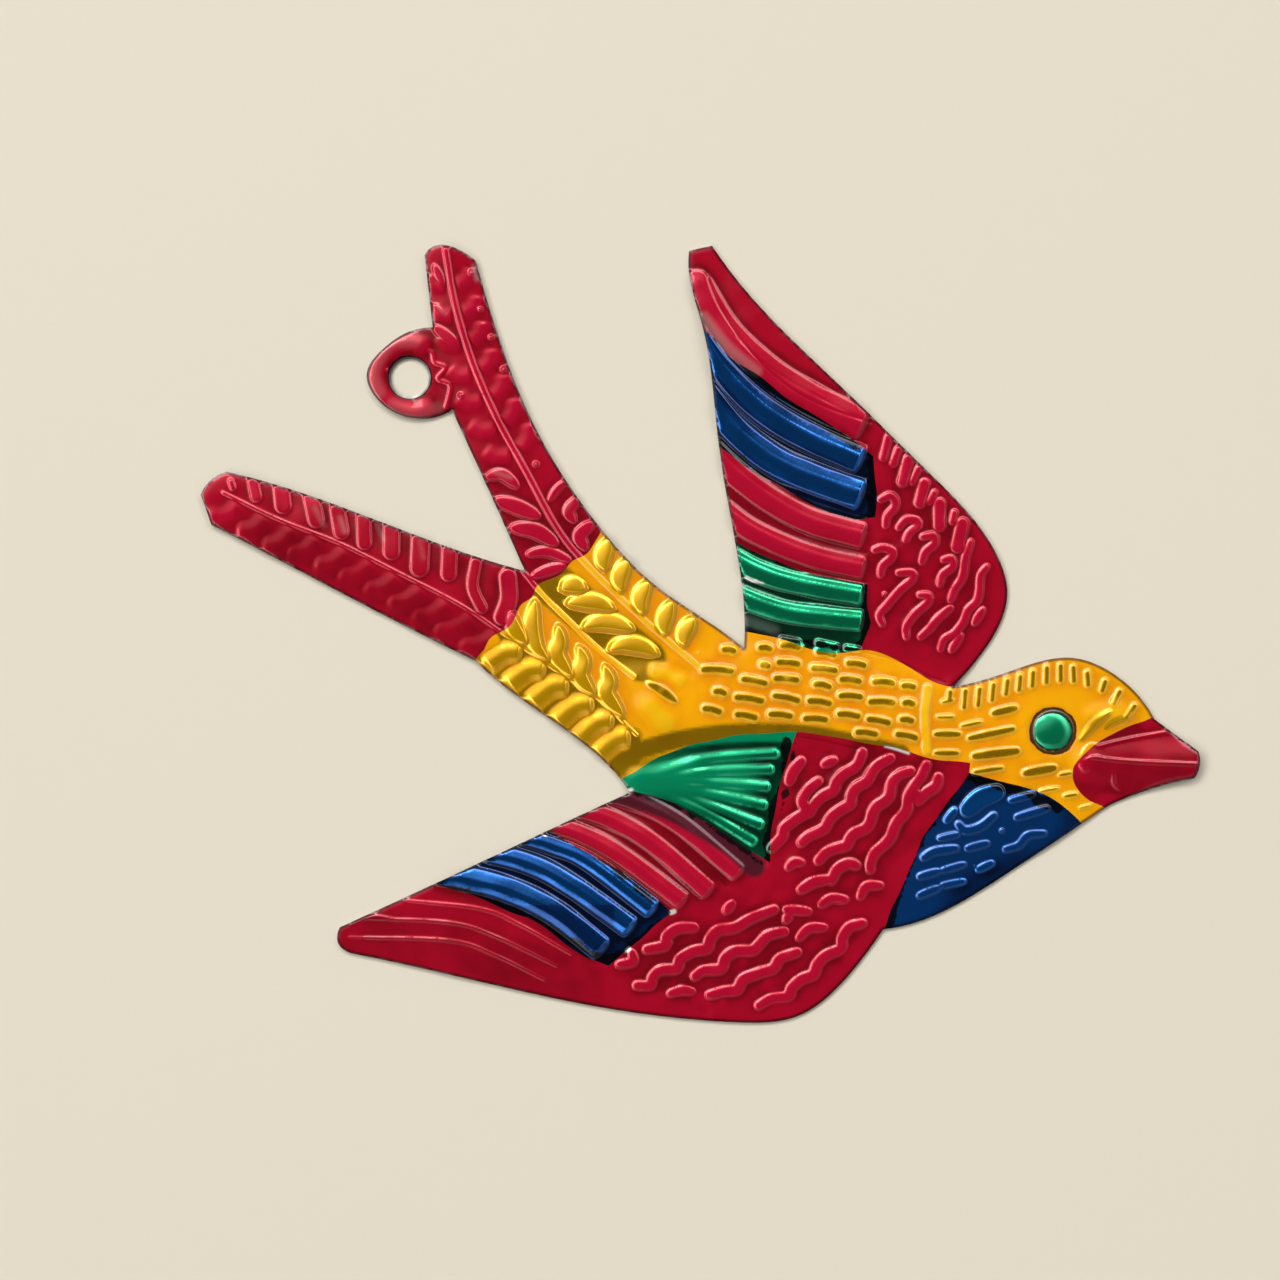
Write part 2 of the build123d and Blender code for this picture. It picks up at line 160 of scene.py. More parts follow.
# Grid cells near a line: distance from it, how far along it, and which side of it
def nearLine(line, reach):
    low, high = line.min(0) - reach, line.max(0) + reach
    rows = slice(*np.searchsorted(cellY, (low[1], high[1])))
    columns = slice(*np.searchsorted(cellX, (low[0], high[0])))
    x, y = np.meshgrid(cellX[columns], cellY[rows])
    lengths = np.linalg.norm(np.diff(line, axis=0), axis=1)
    travelled = np.concatenate([[0], np.cumsum(lengths)])
    away, along, side = np.full(x.shape, 1e9), np.zeros(x.shape), np.zeros(x.shape)
    for start, end, length, before in zip(line, line[1:], lengths, travelled):
        if length == 0:
            continue
        run = (end - start) / length
        t = np.clip((x - start[0]) * run[0] + (y - start[1]) * run[1], 0, length)
        distance = np.hypot(x - start[0] - t * run[0], y - start[1] - t * run[1])
        closer = distance < away
        away[closer] = distance[closer]
        along[closer] = ((before + t) / travelled[-1])[closer]
        side[closer] = (run[0] * (y - start[1]) - run[1] * (x - start[0]))[closer]
    return (rows, columns), away, along, side


# A round crown across a width
def domed(away, width):
    return np.cos(np.clip(away / (width / 2), 0, 1) * np.pi / 2) ** 2


# A tool mark with a flat top and short slopes
def pressMark(points, width, height, slope, leaf=0.0, step=0.25, polish=0.0):
    area, away, along = nearLine(smoothLine(points, step), width / 2 + tooling["reach"])[:3]
    half = width / 2 * (1 - leaf + leaf * np.sqrt(np.clip(np.sin(np.pi * along), 0, 1)))
    raisedMarks[area] = np.maximum(raisedMarks[area], height * easeStep((half - away) / slope))
    dull, fade = tooling["polish"]
    toolTopsAndSheen[area] = np.maximum(toolTopsAndSheen[area], polish * easeStep((half - dull * slope - away) / fade))


# Marks that each have their own width
def pressMarks(marks, height, slope, leaf=0.0, polish=0.0):
    for points, width in marks:
        pressMark(points, width, height, slope, leaf, polish=polish)


# Marks that are all alike
def pressAlike(lines, width, height, slope, leaf):
    for points in lines:
        pressMark(points, width, height, slope, leaf)


# A rounded rib that fades at its ends; with a flank given, its top is broader and its sides short
def pressRib(points, width, height, startFade, endFade, flank=0.0):
    area, away, along = nearLine(smoothLine(points, step=0.6), width / 2 + tooling["reach"])[:3]
    crown = domed(away, width)
    if flank:
        dome, sides = tooling["crownShares"]
        crown = dome * crown + sides * easeStep((width / 2 - away) / flank)
    fade = np.ones_like(along)
    if startFade:
        fade *= easeStep(along / startFade)
    if endFade:
        fade *= easeStep((1 - along) / endFade)
    raisedMarks[area] = np.maximum(raisedMarks[area], height * crown * fade)


# A line scored into the sheet
def scoreLine(points, width, depth):
    area, away = nearLine(smoothLine(points), reach=width * 1.5)[:2]
    sunkLines[area] = np.maximum(sunkLines[area], depth * np.exp(-(away / (width / 2)) ** 2))


# A broad swelling of the sheet along a line
def swell(points, width, height):
    area, away = nearLine(smoothLine(points, step=1.0), width / 2)[:2]
    broadForm[area] = np.maximum(broadForm[area], height * domed(away, width))


# A leaf that rises to one side like a shingle, its face to the light and a short drop behind it
def pressLeaf(points, width, height):
    line = smoothLine(points)
    area, away, along, side = nearLine(line, width / 2 + tooling["reach"])
    tip = tooling["leafTip"]
    half = width / 2 * (tip + (1 - tip) * np.sqrt(np.clip(np.sin(np.pi * along), 0, 1)))
    lit = math.copysign(1, turned(line[-1] - line[0], 90) @ brightSide)
    across = np.clip(lit * side / half, -1, 1)  # 1 at the edge towards the light
    roundness, highest = tooling["shingle"]
    shingle = (1 - across) * (1 + across) ** roundness / highest
    raised = height * shingle * easeStep((half - away) / tooling["leafDrop"])
    raisedMarks[area] = np.maximum(raisedMarks[area], raised)
    amount, fade = tooling["leafPolish"]
    toolTopsAndSheen[area] = np.maximum(toolTopsAndSheen[area], amount * easeStep((half - away) / fade))


# A soft-edged strip on one of the grids
def paintStrip(grid, points, width, fade=0.5, amount=1.0):
    area, away = nearLine(smoothLine(points, step=0.3), width / 2)[:2]
    grid[area] = np.maximum(grid[area], amount * easeStep((width / 2 - away) / fade))


def lineLength(line):
    return np.linalg.norm(np.diff(line, axis=0), axis=1).sum()


# Thin creases midway between neighbouring ribs
def creaseBetween(ribs, width, depth):
    for rib, nextRib in zip(ribs, ribs[1:]):
        lines = [smoothLine(rib[0], step=0.5), smoothLine(nextRib[0], step=0.5)]
        reach = [lineLength(line) for line in lines]
        shares = np.linspace(0, 1, tooling["stations"])
        scoreLine([(placeOn(lines[0], share * reach[0])[0] + placeOn(lines[1], share * reach[1])[0]) / 2
                   for share in shares], width, depth)


# The long feathers of a wing: ribs, a fine scored line along each, and creases between them
def pressWingRibs(wing):
    for points, width, height in wing["ribs"]:
        pressRib(points, width, height, *wing["ribFades"], flank=wing["flank"])
    shiftX, shiftY, width, depth = wing["ribScore"]
    for rib in wing["ribs"]:
        scoreLine([(x + shiftX, y + shiftY) for x, y in rib[0]], width, depth)
    creaseBetween(wing["ribs"], *wing["ribCrease"])


# A gas bubble dried into the lacquer, as a mark on a very short line
def bubble(x, y, size):
    height, slope = tooling["bubble"]
    pressMark([(x, y), (x + 0.02, y)], size, size * height, size * slope)


# Place and heading at a length along a line
def placeOn(line, length):
    steps = np.linalg.norm(np.diff(line, axis=0), axis=1)
    travelled = np.concatenate([[0], np.cumsum(steps)])
    index = min(max(int(np.searchsorted(travelled, length)) - 1, 0), len(steps) - 1)
    heading = (line[index + 1] - line[index]) / steps[index]
    return line[index] + heading * (length - travelled[index]), heading


def turned(vector, degrees):
    c, s = math.cos(math.radians(degrees)), math.sin(math.radians(degrees))
    return np.array([vector[0] * c - vector[1] * s, vector[0] * s + vector[1] * c])


# Barbs on one side of a feather's spine, leaning to its tip: 1 is the left side going from tip to root
def pressBarbs(spine, side, barbs):
    line = smoothLine(spine)
    total = lineLength(line)
    first, last = barbs["reach"]
    for length in np.arange(barbs["first"], min(barbs["last"], total), barbs["pitch"]):
        root, heading = placeOn(line, length + handDraws.normal(0, tooling["barbSlip"]))
        share = length / total
        out = turned(heading, side * (90 + barbs["lean"] + handDraws.normal(0, tooling["barbTurn"])))
        reach = first + (last - first) * share
        start = root + out * barbs["gap"]
        end = root + out * (barbs["gap"] + reach * (1 + handDraws.normal(0, tooling["barbReach"])))
        middle = (start + end) / 2 + turned(out, -90 * side) * barbs["bow"]
        pressRib([start, middle, end], barbs["width"], barbs["height"], *barbs["fades"])


# Short dashes given as the middle and length of their flat tops, all turned alike
def pressDashes(dashes, turn, width, height, slope):
    for x, y, length in dashes:
        heading = turned((1, 0), turn + handDraws.normal(0, tooling["dashTurn"]))
        half = heading * (length + 2 * slope - width) / 2
        middle = np.array((x, y))
        lift = turned((0, 1), turn) * tooling["dashBow"]
        pressMark([middle - half, middle + lift, middle + half], width, height, slope, polish=1.0)


# In the pieces' dictionaries a mark's shape is its height and slope, after its width where all are alike,
# and then how leaf-like it is; a rib's is width, height and the fades at its ends; a crown's is width and
# height
tailLower = {
    "node": "lower_tail_lacquer",
    "spine": [(-47.6, 14.1), (-42.0, 11.4), (-36.1, 9.1), (-30.1, 6.1), (-24.1, 3.0), (-20.0, 0.3),
        (-14.8, -3.3), (-10.1, -6.5), (-6.3, -10.1)],
    "tongues": [([(-46.8, 15.2), (-46.6, 14.6)], 0.9), ([(-44.6, 15.2), (-44.3, 13.7)], 1.4),
        ([(-41.8, 14.5), (-41.6, 12.8)], 1.9), ([(-38.8, 13.6), (-38.3, 11.4)], 1.9),
        ([(-36.2, 12.4), (-35.8, 10.2)], 1.8), ([(-33.6, 11.6), (-33.5, 9.1)], 1.7),
        ([(-30.8, 10.6), (-30.8, 8.2)], 1.9), ([(-27.9, 9.5), (-28.0, 6.6)], 2.1),
        ([(-25.0, 8.6), (-25.1, 6.0)], 1.8), ([(-22.4, 7.1), (-22.7, 4.7), (-21.8, 2.6)], 1.4),
        ([(-19.2, 5.7), (-19.1, 3.5), (-19.7, 1.7)], 2.0)],
    "leaves": [[(-16.5, 3.4), (-16.8, 0.9), (-16.4, -1.2), (-15.2, -2.6)],
        [(-14.2, 0.9), (-14.0, -0.7), (-14.3, -2.1), (-12.8, -4.3)], [(-12.2, -1.2), (-11.7, -2.6),
        (-12.0, -4.2), (-10.6, -6.1)], [(-9.6, -3.1), (-9.1, -4.6), (-9.4, -6.0), (-7.7, -8.2)],
        [(-18.9, 2.2), (-18.6, 0.6), (-17.4, -1.0)]],
    "bands": {"first": 2.4, "last": 34.0, "pitch": 2.9, "lean": 44, "gap": 0.4, "reach": (3.4, 5.4),
        "bow": 0.7, "width": 2.7, "height": 0.14, "fades": (0.12, 0.2)},
    "goldBands": [[(-17.6, -1.9), (-19.4, -1.9), (-21.6, -3.4)], [(-15.2, -3.6), (-17.2, -3.7),
        (-19.6, -5.4)], [(-12.9, -5.2), (-14.9, -5.4), (-17.2, -7.2)], [(-10.4, -7.0), (-12.4, -7.3),
        (-14.8, -9.2)], [(-8.4, -8.8), (-10.2, -8.9), (-12.6, -11.0)], [(-6.8, -10.3), (-8.4, -10.6),
        (-10.6, -12.4)]],
    "crown": (11, 0.42), "spineMark": (0.5, 0.14, 0.24), "tongueMark": (0.17, 0.34), "leafMark": (2.5, 0.4),
    "goldBandRib": (3.2, 0.35, 0.15, 0.2), "goldBandPolish": (2.8, 0.6, 0.75),
    "trough": ([(-20.0, -2.0), (-15.6, -5.6), (-11.2, -9.2), (-8.6, -11.6)], 6.4),
}
swell(tailLower["spine"], *tailLower["crown"])
pressMark(tailLower["spine"], *tailLower["spineMark"], step=0.5)
pressMarks(tailLower["tongues"], *tailLower["tongueMark"])
for points in tailLower["leaves"]:
    pressLeaf(points, *tailLower["leafMark"])
pressBarbs(tailLower["spine"], -1, tailLower["bands"])
for points in tailLower["goldBands"]:
    pressRib(points, *tailLower["goldBandRib"])
    paintStrip(toolTopsAndSheen, points, *tailLower["goldBandPolish"])
paintStrip(troughs, *tailLower["trough"])
print("lower tail feather drawn")

tailUpper = {
    "node": "upper_tail_lacquer",
    "spine": [(-25.4, 38.3), (-24.5, 33.1), (-22.7, 27.1), (-20.3, 21.6), (-17.4, 16.3), (-14.1, 10.3),
        (-10.6, 6.2), (-5.6, 1.4), (-0.2, -3.2)],
    "softBarbs": {"first": 4.0, "last": 24.0, "pitch": 3.0, "lean": 42, "gap": 0.7, "reach": (2.2, 3.6),
        "bow": 0.5, "width": 2.3, "height": 0.12, "fades": (0.12, 0.2)},
    "leaves": [([(-21.2, 15.7), (-19.8, 15.9), (-18.3, 14.8)], 1.5), ([(-20.2, 13.3), (-18.4, 12.7),
        (-16.3, 11.8)], 1.9), ([(-18.6, 10.6), (-16.5, 10.3), (-14.5, 9.1)], 1.9),
        ([(-17.1, 8.0), (-15.3, 8.2), (-13.1, 7.4)], 1.4), ([(-16.6, 5.8), (-15.0, 6.4),
        (-13.6, 6.8)], 1.4), ([(-13.5, 15.2), (-14.3, 14.4), (-15.0, 13.4)], 1.1),
        ([(-12.1, 13.6), (-13.1, 12.3), (-12.6, 11.3)], 1.5), ([(-10.9, 11.0), (-12.0, 9.8),
        (-11.5, 8.6)], 1.7), ([(-26.5, 36.7), (-25.7, 35.0)], 1.2), ([(-26.6, 32.8), (-25.6, 31.8)], 1.1),
        ([(-26.5, 30.6), (-24.4, 29.0)], 1.5)],
    "goldLeaves": [[(-13.9, 4.5), (-12.8, 4.9), (-11.4, 4.5)], [(-13.3, 3.1), (-11.8, 3.3), (-10.1, 3.1),
        (-8.6, 2.5)], [(-11.7, 0.7), (-10.3, 1.2), (-8.8, 1.2), (-6.7, 0.5)],
        [(-9.1, -1.6), (-7.7, -1.0), (-5.9, -1.2), (-4.2, -2.0)], [(-9.0, 9.6), (-9.7, 7.7), (-9.5, 6.3)],
        [(-7.1, 7.5), (-8.0, 5.8), (-7.9, 4.2)], [(-5.1, 5.3), (-6.0, 3.6), (-5.7, 2.0)],
        [(-2.8, 3.3), (-3.6, 1.3), (-3.5, -0.1)], [(-0.6, 1.7), (-1.6, 0.0), (-1.6, -1.2)]],
    "tabFold": [(-27.6, 28.6), (-26.8, 28.1), (-26.5, 27.1), (-25.4, 26.6), (-26.2, 25.5), (-25.0, 24.9),
        (-25.1, 23.7), (-25.4, 22.7)],
    "tabRing": [(-26.6, 28.4), (-29.2, 29.1), (-31.6, 27.9), (-32.4, 25.4), (-31.2, 23.1), (-28.6, 22.2),
        (-26.2, 23.0)],
    "blobs": [(-22.8, 36.0, 1.1), (-22.0, 32.4, 0.8), (-20.9, 29.6, 0.8), (-19.6, 26.4, 0.9),
        (-23.9, 23.8, 0.8), (-31.4, 26.4, 0.6), (-16.4, 16.9, 0.8)],
    "crown": (10, 0.38), "spineMark": (0.8, 0.15, 0.26), "leafMark": (0.18, 0.36, 0.4),
    "goldLeafMark": (2.6, 0.42), "trough": ([(-15.4, 5.6), (-11.4, 2.2), (-7.6, -1.0), (-5.6, -2.6)], 5.0),
    "foldMark": (0.6, 0.12, 0.26), "ringRib": (2.8, 0.3, 0.1, 0.1), "hole": (-29.0, 25.6),
}
swell(tailUpper["spine"], *tailUpper["crown"])
pressMark(tailUpper["spine"], *tailUpper["spineMark"], step=0.5)
pressBarbs(tailUpper["spine"], -1, tailUpper["softBarbs"])
pressBarbs(tailUpper["spine"], 1, tailUpper["softBarbs"])
pressMarks(tailUpper["leaves"], *tailUpper["leafMark"])
for points in tailUpper["goldLeaves"]:
    pressLeaf(points, *tailUpper["goldLeafMark"])
paintStrip(troughs, *tailUpper["trough"])
pressMark(tailUpper["tabFold"], *tailUpper["foldMark"])
for spot in tailUpper["blobs"]:
    bubble(*spot)
pressRib(tailUpper["tabRing"], *tailUpper["ringRib"])
print("upper tail feather drawn")

body = {
    "node": "body_lacquer",
    "tailCrease": [(-17.6, 6.2), (-15.7, 3.9), (-12.9, 1.1), (-10.1, -1.6), (-6.6, -4.3)],
    "creaseLeaf": ([(-5.3, -4.9), (-3.9, -5.6), (-2.3, -6.8)], 1.4, 0.15, 0.32, 0.6),
    "rump": ([(-4.9, -7.2), (-4.0, -8.4)], 6.8, 0.66),
    "rumpShelf": ([(-5.4, -3.7), (-3.2, -3.9), (-1.2, -5.0)], 2.6, 0.2, 0.2, 0.2),
    "backDashes": [(1.7, -3.6, 3.2), (6.5, -3.1, 1.0), (8.8, -2.9, 2.3), (12.4, -3.5, 2.6),
        (15.6, -3.0, 2.0), (5.4, -4.7, 2.6), (8.6, -4.5, 2.5), (12.2, -5.1, 1.8), (15.0, -4.6, 2.2),
        (18.3, -4.8, 2.2), (2.0, -5.8, 1.3), (4.9, -6.5, 2.9), (8.6, -6.4, 2.7), (11.9, -6.8, 2.4),
        (15.0, -6.2, 2.4), (18.1, -6.8, 2.6), (1.2, -7.6, 1.9), (4.6, -8.2, 2.2), (8.0, -8.1, 2.4),
        (11.5, -8.5, 2.4), (14.8, -8.1, 2.3), (17.8, -8.7, 2.4), (2.9, -1.6, 1.4), (6.5, -1.4, 1.3),
        (9.0, -1.2, 2.0), (12.6, -1.9, 2.0), (16.6, -9.9, 2.2), (20.8, -5.2, 1.4), (20.8, -6.9, 1.2),
        (20.6, -8.6, 1.4), (20.6, -10.2, 2.2)],
    "neckRidge": ([(22.7, -5.4), (22.4, -8.2), (22.6, -11.6)], 1.3, 0.16, 0.4),
    "throatBars": [([(26.9, -10.4), (31.2, -9.5)], 1.3), ([(27.4, -12.2), (31.6, -11.7)], 1.5),
        ([(27.4, -13.8), (30.1, -13.4)], 1.1), ([(32.5, -13.9), (35.3, -13.4)], 1.5),
        ([(35.9, -14.1), (37.0, -13.9)], 1.0), ([(34.0, -15.7), (35.7, -15.4)], 0.9),
        ([(23.7, -8.3), (25.2, -8.3)], 1.0), ([(23.5, -10.0), (25.8, -10.0)], 1.3),
        ([(26.1, -9.2), (28.0, -8.8)], 1.0), ([(23.5, -11.9), (25.7, -11.9)], 1.2),
        ([(29.3, -7.9), (31.4, -7.4)], 1.4), ([(36.4, -16.2), (37.6, -16.0)], 1.0),
        ([(37.9, -17.4), (39.0, -17.1)], 0.8), ([(24.2, -6.8), (25.2, -6.6)], 1.0)],
    "crestTicks": [(24.9, -6.2, 82, 1.6), (26.4, -6.5, 84, 2.4), (27.8, -6.3, 84, 2.4),
        (29.2, -5.8, 83, 2.3), (30.6, -5.3, 82, 2.1), (31.9, -4.9, 84, 2.1), (33.2, -4.5, 86, 2.1),
        (34.6, -4.1, 88, 2.2), (36.0, -3.9, 90, 2.2), (37.3, -4.0, 92, 2.1), (38.7, -4.5, 94, 1.9),
        (40.3, -5.2, 72, 1.7), (41.6, -6.3, 60, 2.0), (43.0, -7.8, 56, 2.2)],
    "cheek": ([(39.0, -8.2), (41.4, -8.0)], 5.0, 0.5),
    "beakCreases": [([(37.9, -10.6), (39.3, -8.9), (41.0, -7.6)], 1.7), ([(40.3, -9.5), (41.5, -8.7),
        (42.9, -8.3)], 1.2)],
    "bubbles": [(-0.2, -1.9, 0.34), (0.8, -3.9, 0.36), (22.6, -6.5, 0.5), (-7.5, 6.1, 0.5),
        (-6.7, 3.9, 0.3), (-4.8, 4.8, 0.34), (-5.3, 4.1, 0.24), (10.3, -1.2, 0.34), (-13.5, -8.8, 0.4),
        (38.8, -3.6, 0.5)],
    "crowns": [([(-4, -6.0), (6, -5.2), (15, -6.6), (23, -8.6)], 13, 0.4),
        ([(23, -8.6), (30, -9.0), (38, -10.0)], 14, 0.4)],
    "trough": ([(-9.6, -12.9), (-5.0, -11.3), (0.0, -10.2), (6.0, -9.8), (12.0, -10.2),
        (20.0, -11.9)], 2.4),
    "crinkles": [([(0.0, -5.2), (6.0, -5.0), (14.0, -6.2), (23.0, -8.8)], 11.0, 2.0),
        ([(23.0, -9.0), (31.0, -10.4)], 10.0, 2.0)],
    "creaseMark": (0.7, 0.14, 0.24), "dashMark": (1.5, 0.2, 0.5), "dashTurn": -8,
    "barMark": (0.18, 0.36, 0.15), "tickMark": (1.15, 0.19, 0.38), "tickInset": 0.4, "beakCreaseRise": 0.13,
}
for crown in body["crowns"]:
    swell(*crown)
pressMark(body["tailCrease"], *body["creaseMark"])
swell(*body["rump"])
pressRib(*body["rumpShelf"])
paintStrip(troughs, *body["trough"])
pressDashes(body["backDashes"], body["dashTurn"], *body["dashMark"])
for strip in body["crinkles"]:
    paintStrip(crinkled, *strip)
pressMark(*body["neckRidge"])
pressMarks(body["throatBars"], *body["barMark"], polish=1.0)
for x, y, turn, length in body["crestTicks"]:
    middle = np.array((x, y))
    half = turned((1, 0), turn) * (length / 2 - body["tickInset"])
    pressMark([middle - half, middle + half], *body["tickMark"], polish=1.0)
swell(*body["cheek"])
for points, width in body["beakCreases"]:
    pressLeaf(points, width, body["beakCreaseRise"] * width)
for spot in body["bubbles"]:
    bubble(*spot)
pressMark(*body["creaseLeaf"], polish=1.0)
print("back, neck and head drawn")

wingFar = {
    "redNode": "far_wing_red_lacquer", "blueNode": "far_wing_blue_lacquer",
    "greenNode": "far_wing_green_lacquer",
    "tipCrease": ([(0.2, 38.0), (1.0, 35.0), (2.3, 32.0), (5.0, 28.2), (8.6, 24.8), (12.6, 22.6),
        (17.0, 21.1)], 0.24, 0.07),
    "ribs": [([(-0.4, 34.6), (2.6, 29.9), (6.8, 26.0), (11.0, 23.4), (16.6, 20.6)], 4.0, 0.42),
        ([(-0.9, 31.4), (2.2, 26.4), (6.2, 22.5), (10.6, 19.8), (16.4, 17.2)], 3.5, 0.53),
        ([(0.2, 24.4), (3.4, 20.4), (7.2, 17.4), (11.2, 15.6), (16.4, 13.8)], 3.5, 0.53),
        ([(0.8, 18.7), (4.0, 15.6), (7.5, 13.1), (11.2, 11.2), (16.6, 9.7)], 3.1, 0.41),
        ([(1.4, 13.2), (4.6, 10.7), (8.2, 8.9), (11.8, 7.6), (16.6, 6.5)], 2.8, 0.37),
        ([(2.2, 8.2), (5.8, 6.3), (9.5, 5.1), (16.4, 3.8)], 2.7, 0.43), ([(2.8, 4.3), (6.4, 2.8),
        (9.8, 2.0), (16.4, 1.3)], 2.7, 0.43)],
    "flank": 0.5, "ribFades": (0.0, 0.035), "ribScore": (0.3, 0.5, 0.22, 0.035), "ribCrease": (0.3, 0.07),
    "footOvals": [([(8.2, -0.5), (9.8, -0.8)], 1.0), ([(11.8, -0.9), (13.6, -1.3)], 1.1),
        ([(14.6, -1.4), (15.8, -1.6)], 1.0)],
    "commas": [[(18.0, 13.4), (18.9, 13.8), (19.5, 13.3), (19.4, 12.6), (18.7, 11.8), (18.5, 10.8)],
        [(19.8, 10.6), (20.6, 11.4), (21.6, 11.3), (21.7, 10.8), (20.9, 10.1), (20.5, 9.4)],
        [(22.2, 9.7), (23.3, 9.8), (23.4, 9.0), (22.5, 8.2), (22.1, 7.2)], [(24.3, 7.4), (25.1, 7.5),
        (25.2, 6.7), (24.2, 5.9), (23.9, 5.0)], [(17.4, 8.4), (18.3, 8.6), (19.2, 8.2), (19.0, 7.5),
        (18.2, 6.8), (18.0, 5.9)], [(19.8, 6.1), (21.1, 6.1), (21.2, 5.5), (19.9, 4.3), (18.7, 2.9),
        (17.9, 1.9), (18.2, 1.0)], [(21.9, 3.9), (22.8, 3.8), (22.7, 3.1), (21.4, 1.9), (20.6, 0.7),
        (20.6, -0.3)], [(25.0, 2.6), (23.8, 1.6), (23.0, 0.6), (22.0, -0.3)],
        [(28.6, 6.7), (28.0, 5.8), (27.9, 4.3), (27.6, 3.2), (26.8, 2.4), (26.3, 1.2), (25.4, 0.1),
        (24.4, -0.5), (24.0, -1.5)], [(27.0, 9.2), (26.5, 7.6), (26.2, 5.7), (25.4, 4.4), (25.0, 3.4)],
        [(26.0, -0.2), (25.1, -1.6)], [(28.2, 2.4), (27.4, 1.1)]],
    "teeth": [([(18.8, 19.6), (18.3, 17.6)], 1.1), ([(19.8, 18.4), (19.3, 17.0)], 1.1),
        ([(20.8, 17.4), (20.2, 15.2)], 1.4), ([(21.8, 16.5), (21.2, 15.2)], 1.0),
        ([(22.4, 15.0), (21.9, 13.1)], 1.4), ([(23.4, 14.1), (22.9, 13.2)], 1.0),
        ([(23.9, 13.0), (23.9, 10.8)], 1.5), ([(25.4, 12.1), (25.2, 11.2)], 1.0),
        ([(26.2, 11.0), (25.7, 8.7)], 1.6)],
    "ring": (18.4, 4.0, 0.62),
    "edgeFold": ([(16.0, -1.7), (19.4, -2.6), (22.4, -4.0), (24.6, -4.9)], 0.2, 0.06),
    "ovalMark": (0.18, 0.34), "commaMark": (1.15, 0.17, 0.34, 0.2), "toothMark": (0.17, 0.34),
    "crinkle": ([(20.0, 14.0), (23.0, 6.0), (22.0, 1.0)], 11.0, 3.0, 0.85),
    "crown": ([(4, 28), (14, 17), (22, 8)], 20, 0.25),
}
scoreLine(*wingFar["tipCrease"])
pressWingRibs(wingFar)
pressMarks(wingFar["footOvals"], *wingFar["ovalMark"])
pressAlike(wingFar["commas"], *wingFar["commaMark"])
pressMarks(wingFar["teeth"], *wingFar["toothMark"])
bubble(*wingFar["ring"])
scoreLine(*wingFar["edgeFold"])
paintStrip(crinkled, *wingFar["crinkle"])
swell(*wingFar["crown"])
print("far wing drawn")

